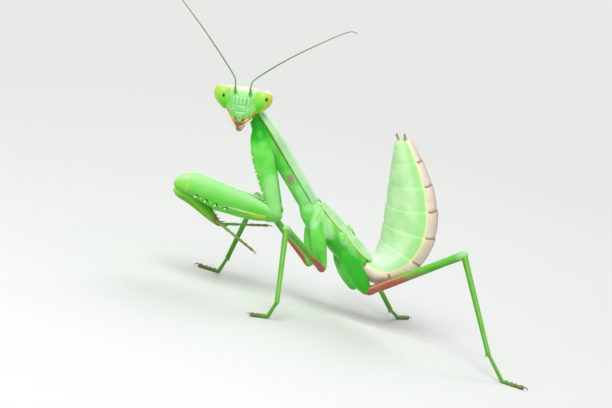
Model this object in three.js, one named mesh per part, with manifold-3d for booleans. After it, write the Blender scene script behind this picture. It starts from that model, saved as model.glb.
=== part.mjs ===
// A praying mantis, a late nymph of a giant Asian mantis, standing on a flat floor.
// Millimetres, +Z up. The animal faces -X, its left side is -Y, and its soles are at z = 0.
import * as THREE from 'three';
import { mergeVertices } from 'three/addons/utils/BufferGeometryUtils.js';
import Module from 'manifold-3d';

const wasm = await Module();
wasm.setup();

// ---------------------------------------------------------------- driving dimensions

const CLEARANCE = 0.07;        // between two neighbouring pieces
const HEAD_CENTRE = [-16.12, -0.52, 22.22];
const HEAD_TURN = { heading: -115, pitch: 4, roll: 8.5 };
const EYE = { out: 2.17, up: -0.1, lean: -10.4 };
const ANTENNA_RADIUS = 0.25;

const PROTHORAX = { start: [-13.78, 0, 20.58], length: 12.3, pitch: -42.6 };
const PTEROTHORAX = { start: [-4.74, 0, 12.26], length: 9.8, pitch: -32.4, middle: 4.7 };

const ABDOMEN = {
  start: [3.53, 0, 7.01],
  length: 19.3,
  firstPitch: -40,             // pitch of the centre line where it leaves the thorax
  lastPitch: 121,              // pitch that it settles to near the tip
  bendLength: 4.6,             // how quickly it bends up
  twist: 30,                   // turn of the upper side toward the animal's left
  twistLength: 6,
  cuts: [0, 2.8, 5.6, 8.4, 11.2, 14.0, 16.8, 19.3],
};

const FORELEG = { coxa: 9.0, trochanter: 1.0, femur: 11.0, tibia: 6.2, tarsus: 5.9 };
const FORELEG_POSES = {
  left: {
    side: -1, start: [-12.91, -1.05, 18.16], coxa: [-11.4, -62], femur: [177.6, 2.6],
    tibia: [6.6, -30.5], tarsus: [-36.3, -18],
  },
  right: {
    side: 1, start: [-12.5, 1.05, 18.1], coxa: [9.2, -59], femur: [178.8, -4.5],
    tibia: [-1, -24], tarsus: [-6, 5],
  },
};

const MIDDLE_LEG = { coxa: 3.7, femur: 10.2, tibia: 8.9, tarsus: 2.0, toes: 2.5, ankle: 2.2 };
const HIND_LEG = { coxa: 3.8, femur: 12.6, tibia: 12.0, tarsus: 3.5, toes: 2.6, ankle: 2.75 };
const WALKING_POSES = {
  mid_left: {
    size: MIDDLE_LEG, start: [-2.88, -1.5, 8.65], coxa: [-1.7, -64.6], femur: [-144, 26],
    tibia: -90.2, tarsus: 142.4, toes: 205,
  },
  mid_right: {
    size: MIDDLE_LEG, start: [-2.88, 1.5, 8.65], coxa: [-3.4, -76.2], femur: [146.7, 33.4],
    tibia: 100.9, tarsus: 145.8, toes: 160,
  },
  hind_left: {
    size: HIND_LEG, start: [1.97, -1.7, 6.77], coxa: [-6, -44.3], femur: [-36.1, 38.8],
    tibia: -60.3, tarsus: -33.3, toes: -24,
  },
  hind_right: {
    size: HIND_LEG, start: [1.97, 1.7, 6.77], coxa: [-1, -54.5], femur: [83.8, 22.4],
    tibia: -57.4, tarsus: 50.4, toes: 40, ankle: 1.45,
  },
};
const TOE_HALF = [0.3, 0.26];  // half-width and half-height of the toes on the floor

// ---------------------------------------------------------------- finishes

const finish = (color, roughness = 0.45) => new THREE.MeshStandardMaterial({
  color, roughness, metalness: 0,
});
const leafGreen = () => finish(0x3fbf2c);
const deepGreen = () => finish(0x1e9a25);
const mintGreen = () => finish(0x8be08c);
const paleGreen = () => finish(0xa9e8a0);
const eyeGreen = () => finish(0xa4dc3c, 0.2);
const warmBrown = () => finish(0x8a5a34);
const mouthBrown = () => finish(0xc9803f);

// ---------------------------------------------------------------- geometry helpers

const rad = THREE.MathUtils.degToRad;

// A closed skin over rings of points, with a fan at each end.
function skin(rings) {
  const count = rings[0].length;
  const middle = (ring) => ring
    .reduce((sum, point) => sum.add(point), new THREE.Vector3())
    .divideScalar(count);
  const points = [...rings.flat(), middle(rings[0]), middle(rings.at(-1))];
  const startCentre = points.length - 2;
  const endCentre = points.length - 1;
  const lastRing = (rings.length - 1) * count;
  const index = [];
  for (let k = 0; k < count; k += 1) {
    const next = (k + 1) % count;
    for (let base = 0; base < lastRing; base += count) {
      index.push(base + k, base + next, base + count + k);
      index.push(base + next, base + count + next, base + count + k);
    }
    index.push(startCentre, next, k);
    index.push(endCentre, lastRing + k, lastRing + next);
  }
  const geometry = new THREE.BufferGeometry().setFromPoints(points);
  geometry.setIndex(index);
  geometry.computeVertexNormals();
  return geometry;
}

// A ring across the X axis: half-width to the sides, heights above and below its middle.
// A belly under 1 makes the lower half fuller than an ellipse.
function ring(x, side, above, below, lift = 0, sides = 12, belly = 1) {
  return Array.from({ length: sides }, (_, k) => {
    const angle = 2 * Math.PI * (k + 0.5) / sides;
    const rise = Math.sin(angle);
    const height = rise > 0 ? above * rise : -below * (-rise) ** belly;
    return new THREE.Vector3(x, side * Math.cos(angle), lift + height);
  });
}

// A limb along +X with rounded ends. A station is [fraction, side, above, below, lift].
function limb(length, stations, { grow = 0, sides = 8, roundness = 1 } = {}) {
  const dome = (station, end, direction, turn) => {
    const [, side, above, below, lift = 0] = station;
    const reach = roundness * (above + below) / 2 + grow;
    const size = Math.sin(rad(turn));
    return ring(end + direction * reach * Math.cos(rad(turn)), (side + grow) * size,
      (above + grow) * size, (below + grow) * size, lift, sides);
  };
  const first = stations[0];
  const last = stations.at(-1);
  return skin([
    ...[12, 50].map((turn) => dome(first, first[0] * length, -1, turn)),
    ...stations.map(([part, side, above, below, lift]) => ring(part * length, side + grow,
      above + grow, below + grow, lift, sides)),
    ...[50, 12].map((turn) => dome(last, last[0] * length, 1, turn)),
  ]);
}

// A round rod of changing radius along a smooth curve through the points.
function rod(points, radii, steps, sides = 6) {
  const curve = new THREE.CatmullRomCurve3(points.map((point) => new THREE.Vector3(...point)));
  const frames = curve.computeFrenetFrames(steps);
  return skin(Array.from({ length: steps + 1 }, (_, step) => {
    const centre = curve.getPointAt(step / steps);
    const radius = THREE.MathUtils.lerp(...radii, step / steps);
    return Array.from({ length: sides }, (__, k) => {
      const angle = 2 * Math.PI * k / sides;
      return centre.clone()
        .addScaledVector(frames.normals[step], radius * Math.cos(angle))
        .addScaledVector(frames.binormals[step], radius * Math.sin(angle));
    });
  }));
}

function direction(heading, pitch) {
  return new THREE.Vector3(
    Math.cos(rad(pitch)) * Math.cos(rad(heading)),
    Math.cos(rad(pitch)) * Math.sin(rad(heading)),
    Math.sin(rad(pitch)),
  );
}

const along = (start, length, heading, pitch) => start.clone()
  .addScaledVector(direction(heading, pitch), length);

// Turns an object so that its +X runs along the heading and pitch, with +Z uppermost.
function aim(object, start, heading, pitch, roll = 0) {
  object.position.copy(start);
  object.rotation.set(rad(roll), rad(-pitch), rad(heading), 'ZYX');
}

// ---------------------------------------------------------------- scene assembly

const animal = new THREE.Group();
const shapes = new Map();      // each piece's shape as a function of how much it is grown
const meshes = new Map();

function piece(name, material, shape, parent = animal) {
  const mesh = new THREE.Mesh(shape(0), material);
  mesh.name = name;
  shapes.set(name, shape);
  meshes.set(name, mesh);
  parent.add(mesh);
  return mesh;
}

// ---------------------------------------------------------------- head

const head = new THREE.Group();
aim(head, new THREE.Vector3(...HEAD_CENTRE), HEAD_TURN.heading, HEAD_TURN.pitch, HEAD_TURN.roll);
animal.add(head);

// Levels of a part that is stacked along the head's height:
// [height, half-width, depth in front, depth behind].
function stacked(levels, grow = 0, sides = 12, roundness = 0.3) {
  return limb(1, levels, { grow, sides, roundness }).rotateY(-Math.PI / 2).rotateZ(Math.PI);
}

piece('head', leafGreen(), (grow) => stacked([
  [-2.25, 1.2, 0.75, 0.6], [-1.8, 1.55, 0.9, 0.8], [-1.3, 1.9, 1.05, 1.0],
  [0, 1.95, 1.15, 1.2], [0.6, 2.0, 1.05, 1.1], [1.05, 1.9, 0.65, 0.7],
], grow), head);

for (const [name, side] of [['left', 1], ['right', -1]]) {
  const eye = piece(`eye_${name}`, eyeGreen(), (grow) => stacked([
    [-1.2, 0.28, 0.4, 0.35], [-0.75, 0.68, 0.85, 0.75], [-0.25, 1.02, 1.08, 1.0],
    [0.3, 1.15, 1.17, 1.08], [0.8, 1.05, 1.0, 0.95], [1.15, 0.68, 0.65, 0.65],
  ], grow, 9, 0.35), head);
  eye.position.set(0.05, side * EYE.out, EYE.up);
  eye.rotation.set(rad(side * EYE.lean), 0, 0);
}

piece('mouthparts', mouthBrown(), (grow) => stacked([
  [-3.6, 0.32, 0.3, 0.32], [-3.2, 0.6, 0.45, 0.5], [-2.5, 1.0, 0.7, 0.6], [-2.1, 1.05, 0.6, 0.5],
], grow, 8), head);

// The palps hang from the cheeks and meet in a V in front of the mouth.
const palpShape = (side) => rod([
  [0.65, side * 1.35, -2.2], [0.95, side * 0.85, -2.8], [0.85, side * 0.2, -3.3],
], [0.26, 0.25], 3);

// Antennae in the head's frame: a stout base that bends outward, then a long whip.
const ANTENNA_PATHS = {
  left: [[1.3, 0.88, 0.6], [1.68, 0.92, 1.5], [1.74, 1.45, 2.45], [1.62, 4.83, 5.3],
    [1.22, 8.91, 8.1], [0.77, 10.97, 9.3], [0.55, 11.96, 9.25]],
  right: [[1.3, -0.8, 0.6], [1.8, -0.77, 1.6], [2.05, -1.3, 2.6], [2.78, -4.6, 6.3],
    [3.31, -8.06, 9.8], [3.33, -9.87, 11.3], [3.29, -10.38, 12.1]],
};
for (const [name, path] of Object.entries(ANTENNA_PATHS)) {
  const radii = [ANTENNA_RADIUS, ANTENNA_RADIUS];
  // The free end of each length stops short of the next one by the clearance.
  const shorten = (points) => {
    const [last, before] = [points.at(-1), points.at(-2)].map((p) => new THREE.Vector3(...p));
    const end = last.add(before.sub(last).setLength(CLEARANCE));
    return [...points.slice(0, -1), end.toArray()];
  };
  piece(`antenna_${name}_base`, deepGreen(), () => rod(shorten(path.slice(0, 3)),
    [0.32, ANTENNA_RADIUS], 4), head);
  piece(`antenna_${name}_lower`, warmBrown(), () => rod(shorten(path.slice(2, 5)), radii, 5), head);
  piece(`antenna_${name}_upper`, warmBrown(), () => rod(path.slice(4), radii, 4), head);
}

// ---------------------------------------------------------------- neck and prothorax

const headCentre = new THREE.Vector3(...HEAD_CENTRE);
const prothoraxStart = new THREE.Vector3(...PROTHORAX.start);
const neckLine = prothoraxStart.clone().sub(headCentre);
const neck = piece('neck', leafGreen(), (grow) => limb(neckLine.length(), [
  [0, 0.75, 0.75, 0.75], [1, 0.85, 0.85, 0.85],
], { grow, sides: 6 }));
aim(neck, headCentre, THREE.MathUtils.radToDeg(Math.atan2(neckLine.y, neckLine.x)),
  THREE.MathUtils.radToDeg(Math.asin(neckLine.z / neckLine.length())));

const prothorax = new THREE.Group();
aim(prothorax, prothoraxStart, 0, PROTHORAX.pitch);
animal.add(prothorax);

// The upper plate is a long roof, widest where the fore coxae are hung.
piece('pronotum', mintGreen(), (grow) => limb(PROTHORAX.length, [
  [0, 1.05, 0.75, 0.1], [0.1, 1.4, 1.0, 0.1], [0.24, 1.65, 1.15, 0.1], [0.38, 1.3, 1.15, 0.1],
  [0.7, 1.1, 1.05, 0.1], [0.93, 1.15, 1.05, 0.1], [1, 1.08, 0.98, 0.1],
].map((station) => [...station, 0.2]), { grow, sides: 12, roundness: 0.4 }), prothorax);

piece('prothorax', leafGreen(), (grow) => limb(PROTHORAX.length, [
  [0.02, 0.85, 0.1, 0.9], [0.1, 1.15, 0.1, 1.15], [0.24, 1.35, 0.1, 1.35], [0.38, 1.1, 0.1, 1.3],
  [0.7, 0.95, 0.1, 1.15], [0.97, 1.05, 0.1, 1.2],
].map((station) => [...station, -0.05]), { grow, sides: 10, roundness: 0.4 }), prothorax);

// ---------------------------------------------------------------- wing-bearing thorax

const pterothorax = new THREE.Group();
aim(pterothorax, new THREE.Vector3(...PTEROTHORAX.start), 0, PTEROTHORAX.pitch);
animal.add(pterothorax);
const { length: thoraxLength, middle: thoraxMiddle } = PTEROTHORAX;

piece('mesothorax', leafGreen(), (grow) => limb(1, [
  [-0.4, 0.95, 0.6, 1.25], [0.45, 1.2, 0.95, 1.75], [1.7, 1.55, 1.15, 2.1],
  [3.2, 1.8, 1.25, 2.0], [thoraxMiddle - CLEARANCE, 1.85, 1.25, 1.8],
], { grow, sides: 10, roundness: 0.35 }), pterothorax);

piece('metathorax', deepGreen(), (grow) => limb(1, [
  [thoraxMiddle + CLEARANCE, 1.85, 1.25, 1.75], [6.4, 1.9, 1.25, 1.85], [8.2, 1.95, 1.2, 1.75],
  [thoraxLength - 0.5, 1.9, 1.15, 1.55],
], { grow, sides: 12, roundness: 0.35 }), pterothorax);

// Wing pads: leaf-shaped flaps that lie like roof tiles on the back.
const WING_PADS = {
  fore: { start: 0.6, length: 5.6, out: 1.15, up: 1.05, slope: 42, width: 0.76 },
  hind: { start: 5.3, length: 4.7, out: 1.3, up: 1.0, slope: 42, width: 0.78 },
};
for (const [pair, pad] of Object.entries(WING_PADS)) {
  for (const [name, side] of [['left', -1], ['right', 1]]) {
    const mesh = piece(`wing_pad_${pair}_${name}`, mintGreen(), (grow) => limb(pad.length, [
      [0.04, 0.5, 0.27, 0.27], [0.3, 0.8, 0.27, 0.27], [0.7, 1, 0.27, 0.27], [0.95, 0.6, 0.25, 0.25],
    ].map(([part, wide, ...rest]) => [part, wide * pad.width, ...rest]), { grow, sides: 7 }),
    pterothorax);
    mesh.position.set(pad.start, side * pad.out, pad.up);
    mesh.rotation.set(rad(-side * pad.slope), 0, 0);
  }
}

// ---------------------------------------------------------------- abdomen

const settle = (distance, length) => 1 - Math.exp(-distance / length);
const abdomenPitch = (distance) => THREE.MathUtils.lerp(
  ABDOMEN.firstPitch, ABDOMEN.lastPitch, settle(distance, ABDOMEN.bendLength));

// The frame of the abdomen's section at a distance along its centre line.
function abdomenFrame(distance) {
  const steps = 60;
  const centre = new THREE.Vector3(...ABDOMEN.start);
  for (let k = 0; k < steps; k += 1) {
    const pitch = abdomenPitch(distance * (k + 0.5) / steps);
    centre.addScaledVector(direction(0, pitch), distance / steps);
  }
  const frame = new THREE.Object3D();
  aim(frame, centre, 0, abdomenPitch(distance), ABDOMEN.twist * settle(distance, ABDOMEN.twistLength));
  frame.updateMatrix();
  return frame.matrix;
}

// Half-width and thickness swell past the waist and close toward the tip.
const abdomenWidth = new THREE.SplineCurve([
  [0, 1.75], [2.5, 2.75], [6, 3.8], [9.5, 4.0], [13, 3.4], [16, 2.45], [18, 1.65], [19.3, 1.0],
].map(([x, y]) => new THREE.Vector2(x, y)));
function abdomenHalfWidth(distance) {
  let [low, high] = [0, 1];
  for (let k = 0; k < 24; k += 1) {
    const middle = (low + high) / 2;
    if (abdomenWidth.getPoint(middle).x < distance) low = middle; else high = middle;
  }
  return abdomenWidth.getPoint(high).y;
}
const abdomenAbove = (distance) => 0.42 * abdomenHalfWidth(distance) + 0.45;
const abdomenBelow = (distance) => 0.6 * abdomenHalfWidth(distance) + 0.2;

function abdomenLength(from, to, grow) {
  const steps = 3;
  return skin(Array.from({ length: steps + 1 }, (_, step) => {
    const distance = THREE.MathUtils.lerp(from - grow, to + grow, step / steps);
    return ring(0, abdomenHalfWidth(distance) + grow, abdomenAbove(distance) + grow,
      abdomenBelow(distance) + grow, 0, 14, 0.8)
      .map((point) => point.applyMatrix4(abdomenFrame(distance)));
  }));
}
ABDOMEN.cuts.slice(0, -1).forEach((from, k) => {
  const to = ABDOMEN.cuts[k + 1];
  piece(`abdomen_${k + 1}`, paleGreen(), (grow) => abdomenLength(
    from + CLEARANCE / 2, to - CLEARANCE / 2, grow));
});

// Two short feelers at the tip.
const tip = new THREE.Group();
tip.applyMatrix4(abdomenFrame(ABDOMEN.length));
animal.add(tip);
for (const [name, side] of [['left', -1], ['right', 1]]) {
  const cercus = piece(`cercus_${name}`, warmBrown(), (grow) => limb(1.15, [
    [0, 0.27, 0.27, 0.27], [1, 0.25, 0.25, 0.25],
  ], { grow, sides: 6 }), tip);
  cercus.position.set(-0.35, side * 0.55, -0.1);
  cercus.rotation.set(0, 0, rad(side * 8));
}

// ---------------------------------------------------------------- forelegs

// Spines stand on the femur's underside: [fraction of its length, depth of the surface there].
const SPINE = { length: 0.6, root: 0.5, radius: 0.2, lean: 18, side: 0.5 };
const SPINE_ROW = [[0.4, 1.5], [0.53, 1.55], [0.66, 1.3]];
const spine = (x, y, surface, grow) => new THREE.ConeGeometry(
  SPINE.radius + grow, SPINE.length + SPINE.root + 2 * grow, 4)
  .rotateX(-Math.PI / 2)
  .rotateY(rad(SPINE.lean))
  .translate(x, y, -surface - (SPINE.length - SPINE.root) / 2);

// Parts that grow from a larger piece and are joined to it, as a function of their growth.
const extras = new Map();

function foreleg(name, pose) {
  const group = new THREE.Group();
  animal.add(group);
  const hip = new THREE.Vector3(...pose.start);
  const knee1 = along(hip, FORELEG.coxa, ...pose.coxa);
  const femurStart = along(knee1, FORELEG.trochanter, ...pose.femur);
  const knee2 = along(femurStart, FORELEG.femur, ...pose.femur);
  const ankle = along(knee2, FORELEG.tibia, ...pose.tibia);

  aim(piece(`fore_${name}_coxa`, leafGreen(), (grow) => limb(FORELEG.coxa, [
    [0.04, 0.75, 0.95, 1.05], [0.25, 0.88, 1.2, 1.44], [0.55, 0.86, 1.03, 1.24],
    [0.85, 0.75, 0.8, 0.95], [0.97, 0.62, 0.66, 0.75],
  ], { grow }), group), hip, ...pose.coxa);

  aim(piece(`fore_${name}_trochanter`, leafGreen(), (grow) => limb(FORELEG.trochanter, [
    [0, 0.62, 0.72, 0.72], [1, 0.6, 0.7, 0.8],
  ], { grow, sides: 6 }), group), knee1, ...pose.femur);

  aim(piece(`fore_${name}_femur`, leafGreen(), (grow) => limb(FORELEG.femur, [
    [0.02, 0.5, 0.7, 0.75], [0.12, 0.65, 0.95, 1.1], [0.3, 0.85, 1.3, 1.45], [0.52, 0.95, 1.55, 1.65],
    [0.72, 0.92, 1.8, 1.25], [0.88, 0.8, 1.7, 0.65], [0.97, 0.6, 1.1, 0.45],
  ], { grow, sides: 10 }), group), femurStart, ...pose.femur);

  aim(piece(`fore_${name}_tibia`, deepGreen(), (grow) => limb(FORELEG.tibia, [
    [0.06, 0.42, 0.85, 0.5], [0.3, 0.48, 1.25, 0.52], [0.6, 0.46, 1.1, 0.48], [0.9, 0.36, 0.55, 0.4],
  ], { grow }), group), knee2, ...pose.tibia);

  aim(piece(`fore_${name}_tarsus`, deepGreen(), (grow) => limb(FORELEG.tarsus, [
    [0, 0.25, 0.27, 0.27], [0.5, 0.25, 0.26, 0.26], [1, 0.25, 0.25, 0.25],
  ], { grow, sides: 6 }), group), ankle, ...pose.tarsus);

  // Two rows of spines along the femur's groove.
  extras.set(`fore_${name}_femur`, (grow) => SPINE_ROW.flatMap(([part, surface]) => [-1, 1]
    .map((side) => spine(part * FORELEG.femur, side * SPINE.side, surface, grow))));
}
for (const [name, pose] of Object.entries(FORELEG_POSES)) foreleg(name, pose);

// ---------------------------------------------------------------- walking legs

// Half-thicknesses from the body outward; the pitch of the shin follows from the ankle's height.
const WALKING_SHAPES = {
  mid: {
    coxa: [[0, 0.75, 0.95, 0.95], [0.5, 0.7, 0.8, 0.8], [0.93, 0.5, 0.55, 0.55]],
    femur: [[0.02, 0.46, 0.5, 0.5], [0.12, 0.42, 0.46, 0.46], [0.6, 0.38, 0.42, 0.42], [1, 0.44, 0.48, 0.48]],
    tibia: [[0.02, 0.36, 0.4, 0.4], [0.5, 0.31, 0.35, 0.35], [1, 0.29, 0.31, 0.31]],
  },
  hind: {
    coxa: [[0, 0.85, 1.1, 1.4], [0.5, 0.8, 0.95, 1.25], [0.93, 0.52, 0.6, 0.7]],
    femur: [[0.02, 0.5, 0.58, 0.58], [0.15, 0.48, 0.58, 0.58], [0.6, 0.4, 0.46, 0.46], [1, 0.44, 0.48, 0.48]],
    tibia: [[0.02, 0.37, 0.41, 0.41], [0.5, 0.31, 0.35, 0.35], [1, 0.28, 0.31, 0.31]],
  },
};

function walkingLeg(name, pose) {
  const { size } = pose;
  const shape = WALKING_SHAPES[name.split('_')[0]];
  const group = new THREE.Group();
  animal.add(group);
  const hip = new THREE.Vector3(...pose.start);
  const knee1 = along(hip, size.coxa, ...pose.coxa);
  const knee2 = along(knee1, size.femur, ...pose.femur);
  const pitchTo = (height, from, length) => THREE.MathUtils.radToDeg(
    Math.asin((height - from.z) / length));
  const tibiaAim = [pose.tibia, pitchTo(pose.ankle ?? size.ankle, knee2, size.tibia)];
  const ankle = along(knee2, size.tibia, ...tibiaAim);
  const tarsusAim = [pose.tarsus, pitchTo(TOE_HALF[1] + 0.02, ankle, size.tarsus)];
  const ball = along(ankle, size.tarsus, ...tarsusAim);

  aim(piece(`${name}_coxa`, leafGreen(), (grow) => limb(size.coxa, shape.coxa,
    { grow }), group), hip, ...pose.coxa);
  aim(piece(`${name}_femur`, leafGreen(), (grow) => limb(size.femur, shape.femur,
    { grow }), group), knee1, ...pose.femur);
  aim(piece(`${name}_tibia`, leafGreen(), (grow) => limb(size.tibia, shape.tibia,
    { grow }), group), knee2, ...tibiaAim);
  aim(piece(`${name}_tarsus`, deepGreen(), (grow) => limb(size.tarsus, [
    [0, 0.25, 0.26, 0.26], [1, 0.25, 0.25, 0.25],
  ], { grow, sides: 6 }), group), ankle, ...tarsusAim);

  // The toes lie on the floor on a flat sole.
  const toes = piece(`${name}_toes`, warmBrown(), (grow) => skin([-0.3, 0, 1, 1.15].map((part) => {
    const end = part < 0 || part > 1 ? 0.6 : 1;
    const [side, high] = TOE_HALF;
    return ring(part * size.toes, side * end + grow, 2 * high * end + grow, grow, 0, 8);
  })), group);
  aim(toes, ball.setZ(0), pose.toes, 0);
}
for (const [name, pose] of Object.entries(WALKING_POSES)) walkingLeg(name, pose);

// ---------------------------------------------------------------- joining and cutting

function solid(geometry, matrix) {
  const bare = geometry.clone().applyMatrix4(matrix);
  bare.deleteAttribute('normal');
  bare.deleteAttribute('uv');
  const merged = mergeVertices(bare, 1e-5);
  return new wasm.Manifold(new wasm.Mesh({
    numProp: 3,
    vertProperties: new Float32Array(merged.attributes.position.array),
    triVerts: new Uint32Array(merged.index.array),
  }));
}

function geometryOf(manifold, matrix) {
  const { vertProperties, triVerts } = manifold.getMesh();
  const geometry = new THREE.BufferGeometry();
  geometry.setAttribute('position', new THREE.BufferAttribute(vertProperties, 3));
  geometry.setIndex(new THREE.BufferAttribute(triVerts, 1));
  geometry.applyMatrix4(matrix.clone().invert());
  geometry.computeVertexNormals();
  return geometry;
}

// Each piece on the left gives way to its neighbours on the right.
const GIVES_WAY = {
  head: ['eye_left', 'eye_right'],
  mouthparts: ['head'],
  neck: ['head', 'eye_left', 'pronotum', 'prothorax'],
  prothorax: ['pronotum'],
  mesothorax: ['pronotum', 'prothorax'],
  metathorax: ['mesothorax'],
  abdomen_1: ['metathorax'],
  wing_pad_fore_left: ['mesothorax', 'metathorax', 'pronotum'],
  wing_pad_fore_right: ['mesothorax', 'metathorax', 'pronotum', 'wing_pad_fore_left'],
  wing_pad_hind_left: ['mesothorax', 'metathorax', 'abdomen_1', 'wing_pad_fore_left'],
  wing_pad_hind_right: ['mesothorax', 'metathorax', 'abdomen_1', 'wing_pad_fore_right',
    'wing_pad_hind_left'],
};
for (const name of ['left', 'right']) {
  GIVES_WAY[`antenna_${name}_base`] = ['head'];
  GIVES_WAY[`cercus_${name}`] = ['abdomen_7'];
  GIVES_WAY[`fore_${name}_coxa`] = ['pronotum', 'prothorax', 'neck', 'head'];
  GIVES_WAY[`fore_${name}_trochanter`] = [`fore_${name}_coxa`];
  GIVES_WAY[`fore_${name}_femur`] = [`fore_${name}_coxa`, `fore_${name}_trochanter`];
  GIVES_WAY[`fore_${name}_tibia`] = [`fore_${name}_femur`];
  GIVES_WAY[`fore_${name}_tarsus`] = [`fore_${name}_tibia`];
}
for (const name of Object.keys(WALKING_POSES)) {
  GIVES_WAY[`${name}_coxa`] = ['mesothorax', 'metathorax', 'abdomen_1'];
  GIVES_WAY[`${name}_femur`] = [`${name}_coxa`];
  GIVES_WAY[`${name}_tibia`] = [`${name}_femur`];
  GIVES_WAY[`${name}_tarsus`] = [`${name}_tibia`];
  GIVES_WAY[`${name}_toes`] = [`${name}_tarsus`];
}
extras.set('mouthparts', () => [palpShape(1), palpShape(-1)]);

animal.updateMatrixWorld(true);
const wholeSolid = (name, grow) => {
  const { matrixWorld } = meshes.get(name);
  return (extras.get(name)?.(grow) ?? []).reduce(
    (sum, geometry) => sum.add(solid(geometry, matrixWorld)),
    solid(shapes.get(name)(grow), matrixWorld));
};
for (const name of extras.keys()) {
  meshes.get(name).geometry = geometryOf(wholeSolid(name, 0), meshes.get(name).matrixWorld);
}
for (const [name, neighbours] of Object.entries(GIVES_WAY)) {
  const mesh = meshes.get(name);
  const left = neighbours.reduce((sum, other) => sum.subtract(wholeSolid(other, CLEARANCE)),
    solid(mesh.geometry, mesh.matrixWorld));
  const largest = left.decompose().sort((a, b) => b.volume() - a.volume())[0];
  mesh.geometry = geometryOf(largest, mesh.matrixWorld);
}

// The origin is the middle of the box around the animal, on the floor.
const middle = new THREE.Box3().setFromObject(animal).getCenter(new THREE.Vector3());
animal.position.set(-middle.x, -middle.y, 0);

export default animal;
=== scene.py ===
# %% [markdown]
# # A praying mantis nymph, life size
# This notebook dresses a still, life-size model of a young mantis. The frame it loads holds one
# plain solid for each part of the body, in metres, with the floor at zero. Each plain solid is
# replaced here by a modelled piece of the same size, and each piece gets its own finish.
# The animal faces -X and its left side is -Y.

# %% Load the frame
from math import asin, atan2, cos, degrees, exp, pi, radians, sin

import bmesh
import bpy
from mathutils import Matrix, Vector


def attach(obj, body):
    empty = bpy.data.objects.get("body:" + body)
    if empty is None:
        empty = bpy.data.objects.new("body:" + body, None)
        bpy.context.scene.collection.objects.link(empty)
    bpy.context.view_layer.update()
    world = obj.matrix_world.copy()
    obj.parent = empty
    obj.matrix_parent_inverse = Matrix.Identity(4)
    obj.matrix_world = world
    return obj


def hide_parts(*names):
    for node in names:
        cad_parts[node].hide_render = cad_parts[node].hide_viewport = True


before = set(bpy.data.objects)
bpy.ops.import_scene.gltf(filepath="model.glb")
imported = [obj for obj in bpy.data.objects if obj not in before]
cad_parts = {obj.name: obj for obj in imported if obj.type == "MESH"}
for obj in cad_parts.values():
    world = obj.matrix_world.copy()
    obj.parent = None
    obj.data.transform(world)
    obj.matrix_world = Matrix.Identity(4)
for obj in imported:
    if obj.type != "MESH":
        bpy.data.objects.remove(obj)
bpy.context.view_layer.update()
print("solids in the frame:", len(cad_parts))

# %% [markdown]
# ## The camera and the room
# The camera comes first, because every later choice is looked at through it. It looks at the
# mantis from its left side and a little from the front, from a low height, and it is rolled, since
# the animal stood on a slope and is set level here. A long lens keeps the perspective flat.

# %% Camera
MM = 0.001                       # the drawing is in millimetres
ORIGIN = Vector((3.5604, 1.6511, 0))     # where the drawing's zero stands in the frame

AZIMUTH, ELEVATION, ROLL = radians(-18), radians(8), radians(17)
DISTANCE = 300.0                 # mm from the camera to the point it looks at
LENS, SENSOR_WIDTH = 160.4, 36   # mm
NEAREST, FURTHEST = 0.01, 20     # m, what the camera can see
AIM = Vector((-10.284, -16.086, 14.433))

toward_camera = Vector((sin(AZIMUTH) * cos(ELEVATION), -cos(AZIMUTH) * cos(ELEVATION),
                        sin(ELEVATION)))
level_right = Vector((cos(AZIMUTH), sin(AZIMUTH), 0))
level_up = toward_camera.cross(level_right)
camera_right = level_right * cos(ROLL) + level_up * sin(ROLL)
camera_up = level_up * cos(ROLL) - level_right * sin(ROLL)

camera_data = bpy.data.cameras.new("camera")
camera_data.lens = LENS
camera_data.sensor_width = SENSOR_WIDTH
camera_data.clip_start = NEAREST
camera_data.clip_end = FURTHEST
camera = bpy.data.objects.new("camera", camera_data)
bpy.context.scene.collection.objects.link(camera)
camera_turn = Matrix((camera_right, camera_up, toward_camera)).transposed()
camera.matrix_world = (Matrix.Translation((AIM + ORIGIN + toward_camera * DISTANCE) * MM)
                       @ camera_turn.to_4x4())
bpy.context.scene.camera = camera
bpy.context.scene.view_settings.view_transform = "Standard"
print("camera height in mm:", round(camera.matrix_world.translation.z * 1000, 1))

# %% [markdown]
# ## Small helpers for shader nodes
# A finish is a chain of shader nodes. It could be wired by hand in the shader editor, but a short
# recipe is easier to read and to change. These helpers add one node or a small group of them. A
# value given as a socket is linked, and any other value is set on the node.

# %% Node helpers
def add_node(tree, kind, inputs=None, **settings):
    made = tree.nodes.new(kind)
    for key, value in settings.items():
        setattr(made, key, value)
    for key, value in (inputs or {}).items():
        if isinstance(value, bpy.types.NodeSocket):
            tree.links.new(value, made.inputs[key])
        else:
            made.inputs[key].default_value = value
    return made


def calculate(tree, operation, first, second=0.0):
    return add_node(tree, "ShaderNodeMath", {0: first, 1: second}, operation=operation).outputs[0]


def times(tree, first, second):
    return calculate(tree, "MULTIPLY", first, second)


def rise(tree, value, low, high):
    """0 below low, 1 above high, and a soft step between them."""
    return add_node(tree, "ShaderNodeMapRange", {"Value": value, "From Min": low, "From Max": high},
                    interpolation_type="SMOOTHSTEP").outputs["Result"]


def fall(tree, value, low, high):
    """1 below low, 0 above high, and a soft step between them."""
    return calculate(tree, "SUBTRACT", 1.0, rise(tree, value, low, high))


def band(tree, value, middle, half, soft):
    """1 within half of the middle, and soft at both edges."""
    away = calculate(tree, "ABSOLUTE", calculate(tree, "SUBTRACT", value, middle))
    return fall(tree, away, half, half + soft)


def paint(tree, mask, under, over):
    """Lays the colour over on the colour under where the mask is 1."""
    made = add_node(tree, "ShaderNodeMix", {0: mask, 6: under, 7: over}, data_type="RGBA")
    return made.outputs[2]


def tint(tree, mask, strength, under, over):
    """Paints with only part of the mask's strength."""
    return paint(tree, times(tree, mask, strength), under, over)


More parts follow.
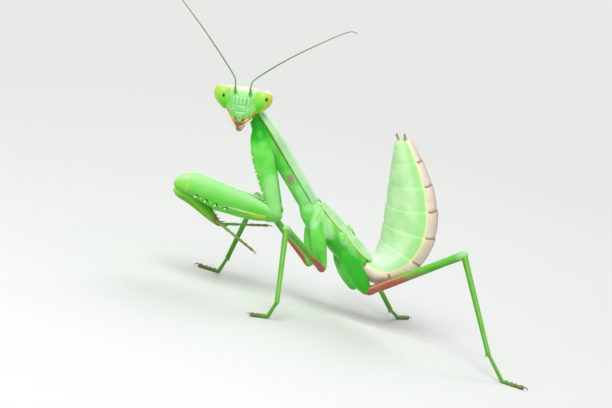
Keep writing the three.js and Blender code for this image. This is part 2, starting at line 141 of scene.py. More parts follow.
def kept_on_mesh(tree, name="place"):
    """Three numbers that a mesh keeps at each point. "place" is where the point lies on its
    piece: share of its length, then across it and up it, each from -1 to 1."""
    read = add_node(tree, "ShaderNodeAttribute", attribute_name=name)
    return add_node(tree, "ShaderNodeSeparateXYZ", {0: read.outputs["Vector"]}).outputs


def colour(red, green, blue):
    return (red, green, blue, 1.0)


print("node helpers ready")

# %% [markdown]
# ## The skin of an insect
# Cuticle is a thin hard shell with a waxy gloss. Up close it is finely pitted, and its colour
# drifts a little over each plate. A painted texture could hold that, but noise on the piece's own
# coordinates stays sharp at any distance. One shader group makes both effects, and every body
# material uses it with its own pit size. The group gives only a mottle value and a height.

# %% Cuticle group
DRIFT_SCALE = 620.0              # per metre, for the slow drift of colour
WAVE_SCALE = 2600.0              # per metre, for the low waves between the pits
PIT_SHARE = 0.45                 # how much of the height the pits make


def make_cuticle_group():
    tree = bpy.data.node_groups.new("cuticle", "ShaderNodeTree")
    tree.interface.new_socket("Pits per metre", in_out="INPUT", socket_type="NodeSocketFloat")
    tree.interface.new_socket("Mottle", in_out="OUTPUT", socket_type="NodeSocketFloat")
    tree.interface.new_socket("Height", in_out="OUTPUT", socket_type="NodeSocketFloat")
    start = tree.nodes.new("NodeGroupInput")
    end = tree.nodes.new("NodeGroupOutput")
    where = add_node(tree, "ShaderNodeTexCoord").outputs["Object"]
    drift = add_node(tree, "ShaderNodeTexNoise",
                     {"Vector": where, "Scale": DRIFT_SCALE, "Detail": 4.0})
    pits = add_node(tree, "ShaderNodeTexVoronoi", {"Vector": where, "Scale": start.outputs[0]})
    waves = add_node(tree, "ShaderNodeTexNoise",
                     {"Vector": where, "Scale": WAVE_SCALE, "Detail": 3.0})
    pit_height = rise(tree, pits.outputs["Distance"], 0.05, 0.45)
    height = calculate(tree, "ADD", times(tree, pit_height, PIT_SHARE),
                       times(tree, waves.outputs["Fac"], 1 - PIT_SHARE))
    tree.links.new(rise(tree, drift.outputs["Fac"], 0.3, 0.7), end.inputs["Mottle"])
    tree.links.new(height, end.inputs["Height"])
    return tree


cuticle_group = make_cuticle_group()
print("cuticle group sockets:", [item.name for item in cuticle_group.interface.items_tree])

# %% One way to build every finish
SPECULAR_LEVEL = 0.3             # a dull wax, less bright than bare plastic
COAT_ROUGHNESS = 0.2
BUMP_STRENGTH = 0.6


def make_finish(name, recipe, roughness, pits, relief=0.00003, coat=0.0):
    """A new material with the cuticle group and a bump wired in. Its colour comes from the
    recipe, a function of the tree and the mottle. pits are per metre and relief is in metres."""
    made = bpy.data.materials.new(name)
    made.use_nodes = True
    tree = made.node_tree
    shader = tree.nodes["Principled BSDF"]
    shader.inputs["Roughness"].default_value = roughness
    shader.inputs["Specular IOR Level"].default_value = SPECULAR_LEVEL
    shader.inputs["Coat Weight"].default_value = coat
    shader.inputs["Coat Roughness"].default_value = COAT_ROUGHNESS
    skin = tree.nodes.new("ShaderNodeGroup")
    skin.node_tree = cuticle_group
    skin.inputs[0].default_value = pits
    bump = add_node(tree, "ShaderNodeBump", {"Height": skin.outputs["Height"], "Distance": relief,
                                             "Strength": BUMP_STRENGTH})
    tree.links.new(bump.outputs[0], shader.inputs["Normal"])
    tree.links.new(recipe(tree, skin.outputs["Mottle"]), shader.inputs["Base Color"])
    return made


MINT = colour(0.38, 0.76, 0.34)
PALE_MINT = colour(0.60, 0.87, 0.52)
IVORY = colour(0.78, 0.74, 0.56)
DARK = colour(0.02, 0.015, 0.01)
print("mint shared by several finishes:", MINT[:3], PALE_MINT[:3])

# %% [markdown]
# ## Green finishes
# Most of the animal is leaf green. The upper faces are painted paler than the lower ones, a
# painted highlight from the light above. That could be painted by hand, but it would have to be
# done again after each change of shape. So the green follows the height across each limb, which
# is kept on the mesh as "place".

# %% Plain green of body and legs
def make_green(name, low, high, waxy=0.2):
    """Green that pales upward in a painted highlight, under a bloom of mint."""
    def recipe(tree, mottle):
        _, _, up = kept_on_mesh(tree)
        return tint(tree, mottle, waxy, paint(tree, rise(tree, up, -0.7, 0.9), low, high), MINT)
    # painted highlight: lighter green toward the upper face, where the light falls
    return make_finish(name, recipe, 0.35, 9000.0)


body_green = make_green("leaf green cuticle", colour(0.10, 0.52, 0.03), colour(0.20, 0.70, 0.09))
shin_finish = make_green("walking shin", colour(0.055, 0.30, 0.006), colour(0.14, 0.47, 0.02), 0.08)
print("green finishes:", body_green.name, shin_finish.name)

# %% Walking legs: rosy toward the body, pale at the knee
KNEE_START = 0.9                 # share of the thigh where the pale knee begins


def make_leg_finish(name, blush_end, low, high):
    salmon, rose = colour(0.40, 0.085, 0.04), colour(0.36, 0.17, 0.10)
    # streak is a painted highlight: a light line along the upper part of the rosy blush
    streak = colour(0.60, 0.39, 0.26)

    def recipe(tree, mottle):
        share, _, up = kept_on_mesh(tree)
        # painted highlight: the green turns lighter toward the upper side, where the light falls
        green = paint(tree, rise(tree, up, -0.8, 0.8), low, high)
        green = tint(tree, mottle, 0.1, green, MINT)
        upper = times(tree, rise(tree, up, -0.5, 0.7), 0.17)
        uneven = calculate(tree, "ADD", upper, times(tree, mottle, 0.05))
        ragged = calculate(tree, "ADD", share, uneven)
        blush = fall(tree, ragged, blush_end * 0.55, blush_end * 1.1)
        rosy = tint(tree, mottle, 0.6, salmon, rose)
        # painted highlight: a light line along the upper side of the blush
        rosy = tint(tree, band(tree, up, 0.45, 0.08, 0.2), 0.6, rosy, streak)
        blushed = paint(tree, blush, green, rosy)
        return tint(tree, rise(tree, share, KNEE_START, 1.0), 0.5, blushed, PALE_MINT)
    return make_finish(name, recipe, 0.34, 11000.0)


thigh_finishes = {
    "mid": make_leg_finish("middle thigh", 0.46, colour(0.06, 0.36, 0.01),
                           colour(0.18, 0.56, 0.03)),
    "hind": make_leg_finish("hind thigh", 0.64, colour(0.045, 0.35, 0.01),
                            colour(0.15, 0.56, 0.03)),
}
print("thigh finishes:", [item.name for item in thigh_finishes.values()])

# %% [markdown]
# ## Finishes with bands
# The neck shield has a cream margin, and the abdomen is banded from its pale back over a yellow
# keel to rose plates and a belly darkened with painted shade; near its base the back carries a
# painted sheen. The bands run along the animal's own shape, so a flat pattern laid over it would
# miss them. They read the same "place".

# %% Neck shield and wing pads
def shield_colour(tree, mottle):
    share, _, up = kept_on_mesh(tree)
    waxy, pale = colour(0.36, 0.74, 0.34), colour(0.48, 0.82, 0.44)
    crest, cream = colour(0.74, 0.91, 0.70), colour(0.82, 0.62, 0.34)
    top = paint(tree, mottle, waxy, pale)
    top = tint(tree, rise(tree, up, 0.35, 0.95), 0.75, top, crest)
    margin = times(tree, band(tree, up, 0.0, 0.05, 0.06), fall(tree, share, 0.55, 0.72))
    return tint(tree, margin, 0.75, top, cream)


def wing_pad_colour(tree, mottle):
    _, across, up = kept_on_mesh(tree)
    waxy, vein = colour(0.38, 0.78, 0.36), colour(0.26, 0.66, 0.22)
    yellow = colour(0.74, 0.78, 0.20)
    veins = calculate(tree, "SINE", times(tree, across, 16.0))
    top = paint(tree, mottle, waxy, PALE_MINT)
    top = tint(tree, rise(tree, veins, 0.5, 1.0), 0.15, top, vein)
    rim = times(tree, rise(tree, across, 0.82, 0.90), fall(tree, up, 0.35, 0.60))
    return paint(tree, rim, top, yellow)


shield_finish = make_finish("neck shield", shield_colour, 0.4, 12000.0, 0.00004)
wing_pad_finish = make_finish("wing pad", wing_pad_colour, 0.38, 12000.0)
print("plate finishes:", shield_finish.name, wing_pad_finish.name)

# %% Abdomen finish
ABDOMEN_LENGTH = 19.3
PLATE_LENGTH = 2.8               # mm from one body ring to the next


def abdomen_colour(tree, mottle):
    share, _, up = kept_on_mesh(tree)
    rings = calculate(tree, "DIVIDE", times(tree, share, ABDOMEN_LENGTH), PLATE_LENGTH)
    on_ring = calculate(tree, "FRACT", rings)
    seam = calculate(tree, "SUBTRACT", 1.0, times(tree, rise(tree, on_ring, 0.0, 0.07),
                                                  fall(tree, on_ring, 0.94, 1.0)))
    back = paint(tree, mottle, colour(0.62, 0.90, 0.50), colour(0.46, 0.82, 0.36))
    # painted sheen: the back turns whitish toward the abdomen's base
    painted_base_sheen = colour(0.82, 0.90, 0.80)
    back = tint(tree, fall(tree, share, 0.12, 0.42), 0.7, back, painted_base_sheen)
    back = tint(tree, seam, 0.35, back, MINT)
    leaf_green = colour(0.24, 0.72, 0.14)
    upper = tint(tree, band(tree, up, 0.50, 0.08, 0.22), 0.5, back, leaf_green)
    # painted shade: the belly is dark and dull where it lies in shade
    belly = paint(tree, mottle, colour(0.20, 0.27, 0.13), colour(0.30, 0.36, 0.18))
    plate = paint(tree, mottle, colour(0.88, 0.80, 0.66), colour(0.78, 0.64, 0.52))
    outer_rose, seam_brown = colour(0.50, 0.30, 0.24), colour(0.30, 0.11, 0.08)
    plate = tint(tree, fall(tree, up, -0.45, -0.05), 0.55, plate, outer_rose)
    plate = tint(tree, seam, 0.9, plate, seam_brown)
    lower = paint(tree, rise(tree, up, -0.86, -0.70), belly, plate)
    both = paint(tree, rise(tree, up, 0.20, 0.30), lower, upper)
    keel_yellow = colour(0.82, 0.86, 0.40)
    return tint(tree, band(tree, up, 0.29, 0.035, 0.07), 0.85, both, keel_yellow)


abdomen_finish = make_finish("abdomen", abdomen_colour, 0.42, 10000.0)
print("abdomen rings:", round(ABDOMEN_LENGTH / PLATE_LENGTH))

# %% [markdown]
# ## Eyes, mouth, feelers and claws
# The eyes are smooth and wet-looking, yellow toward their rims, with a small dark spot where they
# look at the viewer. The mouth is orange-brown, the feelers turn from green to dry brown, and the
# spines of the forelegs are ivory with dark roots. One material could mask them all, but each is
# its own here, because their gloss differs as well as their colour.

# %% Eye finish
def eye_colour(tree, mottle):
    share, across, _ = kept_on_mesh(tree)
    green, light = colour(0.10, 0.64, 0.012), colour(0.36, 0.74, 0.07)
    outer_yellow = colour(0.60, 0.68, 0.012)
    inner_green, crown_cream = colour(0.38, 0.80, 0.19), colour(0.84, 0.78, 0.50)
    rim_orange, halo_green = colour(0.62, 0.40, 0.03), colour(0.10, 0.30, 0.01)
    core = paint(tree, rise(tree, share, 0.20, 0.85), green, light)
    outer = paint(tree, rise(tree, across, 0.25, 0.95), core, outer_yellow)
    lit = tint(tree, fall(tree, across, -0.85, -0.20), 0.65, outer, inner_green)
    crown = paint(tree, rise(tree, share, 0.80, 0.99), lit, crown_cream)
    lower_rim = times(tree, rise(tree, across, 0.70, 0.98), fall(tree, share, 0.35, 0.60))
    rimmed = tint(tree, lower_rim, 0.9, crown, rim_orange)
    spot = add_node(tree, "ShaderNodeAttribute", attribute_name="spot").outputs["Fac"]
    halo = tint(tree, fall(tree, spot, 1.0, 2.6), 0.35, rimmed, halo_green)
    return paint(tree, fall(tree, spot, 0.75, 1.25), halo, DARK)


eye_finish = make_finish("compound eye", eye_colour, 0.24, 26000.0, 0.000006, coat=0.3)
print("eye finish:", eye_finish.name, "with", len(eye_finish.node_tree.nodes), "nodes")

# %% Face finishes
def face_colour(tree, mottle):
    share, across, _ = kept_on_mesh(tree)
    cheek = paint(tree, mottle, colour(0.14, 0.64, 0.07), colour(0.30, 0.78, 0.18))
    edge = rise(tree, calculate(tree, "ABSOLUTE", across), 0.70, 0.92)
    orange, brow_green = colour(0.62, 0.38, 0.03), colour(0.46, 0.82, 0.38)
    cheek = paint(tree, times(tree, edge, fall(tree, share, 0.26, 0.40)), cheek, orange)
    cheek = tint(tree, rise(tree, share, 0.55, 0.80), 0.7, cheek, brow_green)
    crown = paint(tree, mottle, colour(0.80, 0.80, 0.58), colour(0.90, 0.80, 0.68))
    return paint(tree, rise(tree, share, 0.80, 0.93), cheek, crown)


def plate_colour(tree, mottle):
    """Mint plates of the face, paler on their ribs and at their edges."""
    height, _, rib = kept_on_mesh(tree)
    rib_mint, edge_mint = colour(0.60, 0.90, 0.52), colour(0.68, 0.92, 0.60)
    base = paint(tree, mottle, colour(0.15, 0.58, 0.14), colour(0.34, 0.76, 0.28))
    base = tint(tree, rise(tree, rib, 0.05, 1.0), 0.55, base, rib_mint)
    edge = rise(tree, calculate(tree, "ABSOLUTE", height), 0.70, 0.97)
    return tint(tree, edge, 0.5, base, edge_mint)


face_finish = make_finish("face", face_colour, 0.34, 14000.0, 0.000015)
plate_finish = make_finish("face plate", plate_colour, 0.32, 16000.0, 0.000015)
print("face finishes:", face_finish.name, plate_finish.name)

# %% Small parts
SMALL_PITS = 12000.0             # per metre


def make_plain(name, first, second, roughness):
    """Two close colours that follow the mottle."""
    def recipe(tree, mottle):
        return paint(tree, mottle, first, second)
    return make_finish(name, recipe, roughness, SMALL_PITS)


def make_tapered(name, root, end, low, high, roughness=0.4):
    """One colour at the root of a piece and another at its end."""
    def recipe(tree, mottle):
        share, _, _ = kept_on_mesh(tree)
        ragged = calculate(tree, "ADD", share, times(tree, mottle, 0.05))
        return paint(tree, rise(tree, ragged, low, high), root, end)
    return make_finish(name, recipe, roughness, SMALL_PITS)


seam_finish = make_plain("face seam", colour(0.34, 0.76, 0.28), colour(0.48, 0.84, 0.40), 0.34)
lip_finish = make_plain("mouth tip", colour(0.60, 0.34, 0.18), colour(0.34, 0.13, 0.07), 0.4)
palp_finish = make_plain("palp", IVORY, colour(0.66, 0.70, 0.44), 0.4)
wart_finish = make_plain("coxal wart", colour(0.82, 0.78, 0.25), colour(0.86, 0.84, 0.45), 0.3)
jaw_finish = make_tapered("jaw", colour(0.72, 0.46, 0.05), colour(0.30, 0.09, 0.03), 0.45, 1.0, 0.3)
feeler_finish = make_tapered("feeler", colour(0.07, 0.45, 0.03), colour(0.22, 0.12, 0.045),
                             0.08, 0.34)
cercus_finish = make_tapered("cercus", colour(0.44, 0.52, 0.20), colour(0.36, 0.22, 0.09), 0.2, 0.9)
spine_finish = make_tapered("foreleg spine", colour(0.02, 0.02, 0.012), IVORY, 0.46, 0.62, 0.3)
claw_finish = make_tapered("claw", colour(0.36, 0.20, 0.06), DARK, 0.3, 0.95, 0.25)
toe_finish = make_tapered("toes", colour(0.12, 0.34, 0.05), colour(0.22, 0.17, 0.05), 0.2, 1.0)
print("finishes of the small parts:", [item.name for item in (
    seam_finish, lip_finish, palp_finish, wart_finish, jaw_finish, feeler_finish, cercus_finish,
    spine_finish, claw_finish, toe_finish)])

# %% [markdown]
# ## How a body part is modelled
# Every part of an insect is a tube that swells and narrows. It could be sculpted, but rings keep
# every width a number that can be changed. A tube starts as one filled ring, which is extruded
# again and again, and each new ring is set to its own place, width and height. A subdivision
# modifier then rounds it. While the rings are set, each point also notes where it lies on the
# tube, which is what the finishes read.

# %% Rings and tubes
AROUND = 16                      # points around a plain tube
CLOSING_TURNS = (10, 34, 62)     # degrees along an arc, at which a tube's closing rings stand


def deselect():
    bpy.ops.object.select_all(action="DESELECT")


def oval(ring, u, w):
    frame_here, side, above, below, _ = ring
    return frame_here @ Vector((0, side * u, (above if w > 0 else below) * w))


def loft(name, rings, around, section=oval):
    """A closed tube through rings of (frame, half-width, height above, height below, share)."""
    deselect()
    bpy.ops.mesh.primitive_circle_add(vertices=around, radius=1, fill_type="NGON",
                                      rotation=(0, pi / 2, 0))
    bpy.ops.object.transform_apply(location=False, rotation=True, scale=False)
    made = bpy.context.object
    made.name = made.data.name = name
    bpy.ops.object.mode_set(mode="EDIT")
    cage = bmesh.from_edit_mesh(made.data)
    place = cage.verts.layers.float_vector.new("place")
    for point in cage.verts:
        point[place] = (0, point.co.y, point.co.z)
    for count, ring in enumerate(rings):
        if count:
            bpy.ops.mesh.extrude_region_move()
            cage = bmesh.from_edit_mesh(made.data)
            place = cage.verts.layers.float_vector["place"]
        for point in cage.verts:
            if point.select:
                _, u, w = point[place]
                point.co = section(ring, u, w)
                point[place] = (ring[4], u, w)
        bmesh.update_edit_mesh(made.data)
    bpy.ops.mesh.select_all(action="SELECT")
    bpy.ops.mesh.normals_make_consistent(inside=False)
    bpy.ops.object.mode_set(mode="OBJECT")
    return made


def rounded(rows, start=1.0, end=1.0):
    """Adds closing rows, shrinking along an arc, at one or both ends of rows."""
    def closing(row, away, turn):
        x, side, above, below, lift = row
        size = sin(radians(turn))
        reach = away * (above + below) / 2
        return (x + reach * cos(radians(turn)), side * size, above * size, below * size, lift)
    before = [closing(rows[0], -start, turn) for turn in CLOSING_TURNS] if start else []
    after = [closing(rows[-1], end, turn) for turn in reversed(CLOSING_TURNS)] if end else []
    return before + rows + after


def straight(name, length, stations, start=1.0, end=1.0, around=AROUND, section=oval):
    """A tube along +X. A station is (share of the length, half-width, above, below, lift)."""
    rows = [(s[0] * length, s[1], s[2], s[3], s[4] if len(s) > 4 else 0.0) for s in stations]
    rings = [(Matrix.Translation((x, 0, lift)), side, above, below, min(max(x / length, 0), 1))
             for x, side, above, below, lift in rounded(rows, start, end)]
    return loft(name, rings, around, section)


def between(stations, where):
    """The sizes at a place between listed stations, each of which starts with its own place."""
    for low, high in zip(stations, stations[1:]):
        if where <= high[0]:
            break
    share = min(max((where - low[0]) / (high[0] - low[0]), 0), 1)
    return [a + (b - a) * share for a, b in zip(low[1:], high[1:])]


print("a tube's end closes in", len(CLOSING_TURNS), "rings")

# %% Rods along a smooth path
PATH_STEPS = 12                  # between two given points, before they are spread evenly
ROD_END = 0.45                   # how far a rod narrows at its ends
START_UP = Vector((0.13, 0.21, 0.97))    # a direction that no rod here sets out in


def smooth_path(points, steps):
    """Points evenly spread on a smooth curve through the given ones."""
    points = [Vector(p) for p in points]
    points = [points[0] * 2 - points[1], *points, points[-1] * 2 - points[-2]]
    dense = []
    for a, b, c, d in zip(points, points[1:], points[2:], points[3:]):
        for k in range(PATH_STEPS):
            t = k / PATH_STEPS
            dense.append(0.5 * (2 * b + (c - a) * t + (2 * a - 5 * b + 4 * c - d) * t * t
                                + (3 * b - a - 3 * c + d) * t ** 3))
    dense.append(points[-2])
    walked = [0.0]
    for a, b in zip(dense, dense[1:]):
        walked.append(walked[-1] + (b - a).length)
    found, k = [], 0
    for step in range(steps + 1):
        goal = walked[-1] * step / steps
        while k < len(dense) - 2 and walked[k + 1] < goal:
            k += 1
        share = (goal - walked[k]) / max(walked[k + 1] - walked[k], 1e-9)
        found.append(dense[k].lerp(dense[k + 1], min(max(share, 0), 1)))
    return found


def rod(name, points, radius_at, steps, around=8):
    """A round tube along a smooth path. radius_at gives its radius at a share of the way."""
    path = smooth_path(points, steps)
    rings = []
    up = START_UP
    for k, centre in enumerate(path):
        ahead = (path[min(k + 1, steps)] - path[max(k - 1, 0)]).normalized()
        side = up.cross(ahead).normalized()
        up = ahead.cross(side)
        turn = Matrix((ahead, side, up)).transposed().to_4x4()
        size = radius_at(k / steps)
        if k in (0, steps):
            size *= ROD_END
        rings.append((Matrix.Translation(centre) @ turn, size, size, size, k / steps))
    return loft(name, rings, around)


def tapering(radius, loss, power=1):
    """A rod's radius, which loses a share of itself on the way to the end."""
    return lambda t: radius * (1 - loss * t ** power)


print("steps between two points of a path:", PATH_STEPS)

# %% Aiming, joining and copying
def direction(heading, pitch):
    return Vector((cos(radians(pitch)) * cos(radians(heading)),
                   cos(radians(pitch)) * sin(radians(heading)), sin(radians(pitch))))


def along(start, length, heading, pitch):
    return Vector(start) + direction(heading, pitch) * length


def aim(start, heading, pitch, roll=0.0):
    """The frame of a part whose +X runs along the heading and pitch, with +Z uppermost."""
    return (Matrix.Translation(Vector(start)) @ Matrix.Rotation(radians(heading), 4, "Z")
            @ Matrix.Rotation(radians(-pitch), 4, "Y") @ Matrix.Rotation(radians(roll), 4, "X"))


def joined(name, parts):
    """Several meshes made one piece."""
    deselect()
    for part in parts:
        part.select_set(True)
    bpy.context.view_layer.objects.active = parts[0]
    if len(parts) > 1:
        bpy.ops.object.join()
    parts[0].name = parts[0].data.name = name
    return parts[0]


def copied(model, frames):
    """One model placed many times, each copy with its own mesh. The model itself is used up."""
    copies = []
    for number, here in enumerate(frames):
        copy = model if number == len(frames) - 1 else model.copy()
        if copy is not model:
            copy.data = model.data.copy()
            bpy.context.scene.collection.objects.link(copy)
        copies.append((copy, here))
    for copy, here in copies:
        copy.data.transform(here)
    return [copy for copy, _ in copies]


def scale_place(piece, share=1, across=1):
    """Rescales the place kept on a piece: across is -1 to count outward on the other side."""
    for item in piece.data.attributes["place"].data:
        item.vector = (share * item.vector[0], across * item.vector[1], item.vector[2])


print("a part aimed straight up starts along:", tuple(round(c) for c in direction(0, 90)))

# %% Rounding a piece and handing it over
made_pieces = []


def smoothed(piece, levels):
    deselect()
    piece.select_set(True)
    bpy.context.view_layer.objects.active = piece
    if levels:
        rounding = piece.modifiers.new("rounding", "SUBSURF")
        rounding.levels = rounding.render_levels = levels
        bpy.ops.object.modifier_apply(modifier=rounding.name)
    bpy.ops.object.shade_smooth()
    return piece


def hand_over(piece, here, finish, nodes=(), levels=2):
    """Rounds a piece, sets it at its place in the frame and gives it its finish."""
    smoothed(piece, levels)
    piece.data.transform(Matrix.Scale(MM, 4) @ Matrix.Translation(ORIGIN) @ here)
    piece.data.materials.append(finish)
    if nodes:
        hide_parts(*nodes)
    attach(piece, "root")
    made_pieces.append(piece)
    return piece


print("pieces so far:", len(made_pieces))

# %% [markdown]
# ## Pose and sizes
# A mantis stands on its four hind legs and keeps the front pair folded. The whole stance is a
# short list: where each limb starts, and the heading and pitch of each of its lengths, in degrees.
# The shins reach a set ankle height, so their pitch is worked out and all feet meet the floor.

# %% Pose
HEAD_CENTRE = Vector((-16.12, -0.52, 22.22))
HEAD_TURN = (-115, 4, 8.5)

PROTHORAX_START, PROTHORAX_LENGTH, PROTHORAX_PITCH = Vector((-13.78, 0, 20.58)), 12.3, -42.6
THORAX_START, THORAX_LENGTH, THORAX_PITCH = Vector((-4.74, 0, 12.26)), 9.8, -32.4

ABDOMEN_START = Vector((3.53, 0, 7.01))
FIRST_PITCH, LAST_PITCH, BEND_LENGTH = -40, 121, 4.6
TWIST, TWIST_LENGTH = 30, 6

FORELEG = {"coxa": 9.0, "trochanter": 1.0, "femur": 11.0, "tibia": 6.2, "tarsus": 5.9}
FORELEG_POSES = {
    "left": {"side": -1, "start": (-12.91, -1.05, 18.16), "coxa": (-11.4, -62),
             "femur": (177.6, 2.6), "tibia": (6.6, -28.4), "tarsus": (-36.3, -18.9)},
    "right": {"side": 1, "start": (-12.28, 1.05, 18.0), "coxa": (9.2, -58.7),
              "femur": (178.8, -3.9), "tibia": (-1, -24), "tarsus": (-6, 13)},
}
MIDDLE_LEG = {"coxa": 3.7, "femur": 10.2, "tibia": 8.9, "tarsus": 2.0, "toes": 2.5, "ankle": 2.2}
HIND_LEG = {"coxa": 3.8, "femur": 12.6, "tibia": 12.0, "tarsus": 3.5, "toes": 2.6, "ankle": 2.75}
WALKING_POSES = {
    "mid_left": {"size": MIDDLE_LEG, "side": -1, "start": (-2.88, -1.5, 8.65),
                 "coxa": (-1.7, -64.6), "femur": (-144, 26), "tibia": -90.2, "tarsus": 142.4,
                 "toes": 205},
    "mid_right": {"size": MIDDLE_LEG, "side": 1, "start": (-2.88, 1.5, 8.65),
                  "coxa": (-3.4, -76.2), "femur": (146.7, 33.4), "tibia": 100.9, "tarsus": 145.8,
                  "toes": 160},
    "hind_left": {"size": HIND_LEG, "side": -1, "start": (1.97, -1.7, 6.77), "coxa": (-6, -44.3),
                  "femur": (-36.1, 38.8), "tibia": -60.3, "tarsus": -33.3, "toes": -24},
    "hind_right": {"size": HIND_LEG, "side": 1, "start": (1.97, 1.7, 6.77), "coxa": (-1, -54.5),
                   "femur": (83.8, 22.4), "tibia": -57.4, "tarsus": 50.4, "toes": 40,
                   "ankle": 1.45},
}
print("walking legs:", list(WALKING_POSES))

# %% [markdown]
# ## The head
# A mantis's head is a flat triangle with an eye at each upper corner. It could be cut from a
# sphere, but its outline changes at every height. So it is modelled as rings stacked from the
# mouth up to the crown, with a flattened face. The rings' frames turn the stack so that the face
# looks along the head's own +X.

# %% Head capsule
head_frame = aim(HEAD_CENTRE, *HEAD_TURN)

HEAD_LEVELS = [                  # height, half-width, depth of the face in front, depth behind
    (-2.45, 0.86, 0.50, 0.40), (-2.30, 1.12, 0.66, 0.52), (-2.10, 1.32, 0.80, 0.66),
    (-1.86, 1.53, 0.90, 0.78), (-1.50, 1.84, 1.00, 0.92), (-1.20, 1.96, 1.06, 1.00),
    (-0.80, 2.00, 1.12, 1.08), (-0.30, 2.02, 1.15, 1.16), (0.20, 2.02, 1.15, 1.20),
    (0.60, 2.02, 1.08, 1.12), (0.90, 2.02, 0.93, 0.98), (1.10, 2.00, 0.72, 0.74),
    (1.24, 1.90, 0.46, 0.48), (1.32, 1.50, 0.20, 0.22),
]


def upright(height):
    """The frame of a level ring of the head: across is +Y, and up the ring is the face's +X."""
    return Matrix(((0, 0, 1, 0), (0, 1, 0, 0), (1, 0, 0, height), (0, 0, 0, 1)))


def flat_faced(ring, u, w):
    here, side, above, below, _ = ring
    depth = above * w ** 0.7 if w > 0 else below * w
    return here @ Vector((0, side * u, depth))


def level_rings(levels):
    low, high = levels[0][0], levels[-1][0]
    return [(upright(z), side, front, back, (z - low) / (high - low))
            for z, side, front, back in levels]


head = loft("head_capsule", level_rings(HEAD_LEVELS), 24, flat_faced)
hand_over(head, head_frame, face_finish, ["head"])
print("head height without its mouth, in mm:", round(HEAD_LEVELS[-1][0] - HEAD_LEVELS[0][0], 2))

# %% [markdown]
# ## Eyes
# The eyes fill the upper corners of the triangle. An eye is widest above its middle and runs down
# to a narrow tip on the cheek, and its middle line bends outward, which a scaled sphere can't
# show. So each level has its own middle as well as its own width. An eye is its own piece, because
# its gloss and colour end in a sharp line.

# %% Eyes
EYE_LEVELS = [                   # height, how far out its middle lies, half-width, front, behind
    (-1.52, 1.93, 0.12, 0.16, 0.14), (-1.42, 1.95, 0.30, 0.36, 0.32),
    (-1.18, 2.00, 0.54, 0.62, 0.54), (-0.90, 2.08, 0.78, 0.84, 0.76),
    (-0.58, 2.17, 0.98, 1.01, 0.94), (-0.20, 2.24, 1.12, 1.13, 1.05),
    (0.15, 2.28, 1.16, 1.18, 1.10), (0.48, 2.28, 1.14, 1.17, 1.10),
    (0.78, 2.27, 1.04, 1.06, 1.00), (1.00, 2.26, 0.86, 0.86, 0.84),
    (1.16, 2.26, 0.60, 0.60, 0.60), (1.24, 2.26, 0.28, 0.28, 0.28),
]
EYE_FORWARD = 0.05
EYE_SHIFT = -0.06                # both eyes, toward the animal's right
EYE_SPOTS = {"left": (0.21, 2.81), "right": (-0.04, 2.15)}   # mm up the head and outward
SPOT_SIZE = (0.19, 0.13)         # half-height and half-width of the dark spot
NO_SPOT = 9.0                    # at the back of the eye


def eye_rings(side):
    low, high = EYE_LEVELS[0][0], EYE_LEVELS[-1][0]
    return [(Matrix.Translation((EYE_FORWARD, side * out + EYE_SHIFT, 0)) @ upright(z), half,
             front, back, (z - low) / (high - low)) for z, out, half, front, back in EYE_LEVELS]


for name, side in (("left", 1), ("right", -1)):
    eye = loft(f"eye_{name}_ball", eye_rings(side), 32)
    smoothed(eye, 2)
    spot = eye.data.attributes.new("spot", "FLOAT", "POINT")
    up, out = EYE_SPOTS[name]
    for point in eye.data.vertices:
        off = Vector(((point.co.z - up) / SPOT_SIZE[0], (side * point.co.y - out) / SPOT_SIZE[1]))
        spot.data[point.index].value = off.length if point.co.x > 0 else NO_SPOT
    scale_place(eye, across=side)
    hand_over(eye, head_frame, eye_finish, [f"eye_{name}"], levels=0)
print("eye height in mm:", EYE_LEVELS[-1][0] - EYE_LEVELS[0][0])

# %% [markdown]
# ## The face plates
# Between the feelers sits a shield with upright ribs, and below it the clypeus and the upper
# lip. They could be only painted on, but their edges catch the light. Each is a grid laid on the
# face: its rows are set to the face's own depth, raised a little, and the rim is sunk so that the
# plate grows out of the face. The height of a rib is kept on the mesh, so that the finish can
# pale it.

# %% Shield, clypeus and lip
GRID = (36, 14)                  # faces across and up a plate
RIB_HALF = 0.11                  # share of the plate's half-width
RIB_RISE, RIM_SINK, PLATE_THICKNESS = 0.025, 0.10, 0.1       # mm
PLATE_SHIFT = Matrix.Translation((0, -0.05, 0))


def face_depth(y, z):
    """How far in front of the head's middle the face lies at a height and an offset."""
    half, front, _ = between(HEAD_LEVELS, z)
    u = min(abs(y) / half, 0.98)
    return front * (1 - u * u) ** 0.35


def rib_height(a, ribs):
    return sum(exp(-((a - middle) / RIB_HALF) ** 2) for middle in ribs)


def face_plate(name, top, bottom, half_top, half_bottom, lift, ribs=()):
    deselect()
    bpy.ops.mesh.primitive_grid_add(x_subdivisions=GRID[0], y_subdivisions=GRID[1], size=2)
    plate = bpy.context.object
    plate.name = plate.data.name = name
    place = plate.data.attributes.new("place", "FLOAT_VECTOR", "POINT")
    for point in plate.data.vertices:
        a, b = point.co.x, point.co.y
        z = bottom + (top - bottom) * (b + 1) / 2
        half = half_bottom + (half_top - half_bottom) * (b + 1) / 2
        y = a * half
        rim = max(abs(a), abs(b)) ** 6
        rib = rib_height(a, ribs) * (1 - b ** 6)
        place.data[point.index].vector = (b, a, rib)
        point.co = (face_depth(y, z) + lift * (1 - rim) - RIM_SINK * rim + RIB_RISE * rib, y, z)
    thick = plate.modifiers.new("thick", "SOLIDIFY")
    thick.thickness = PLATE_THICKNESS
    thick.offset = 0
    bpy.context.view_layer.objects.active = plate
    bpy.ops.object.modifier_apply(modifier=thick.name)
    return plate


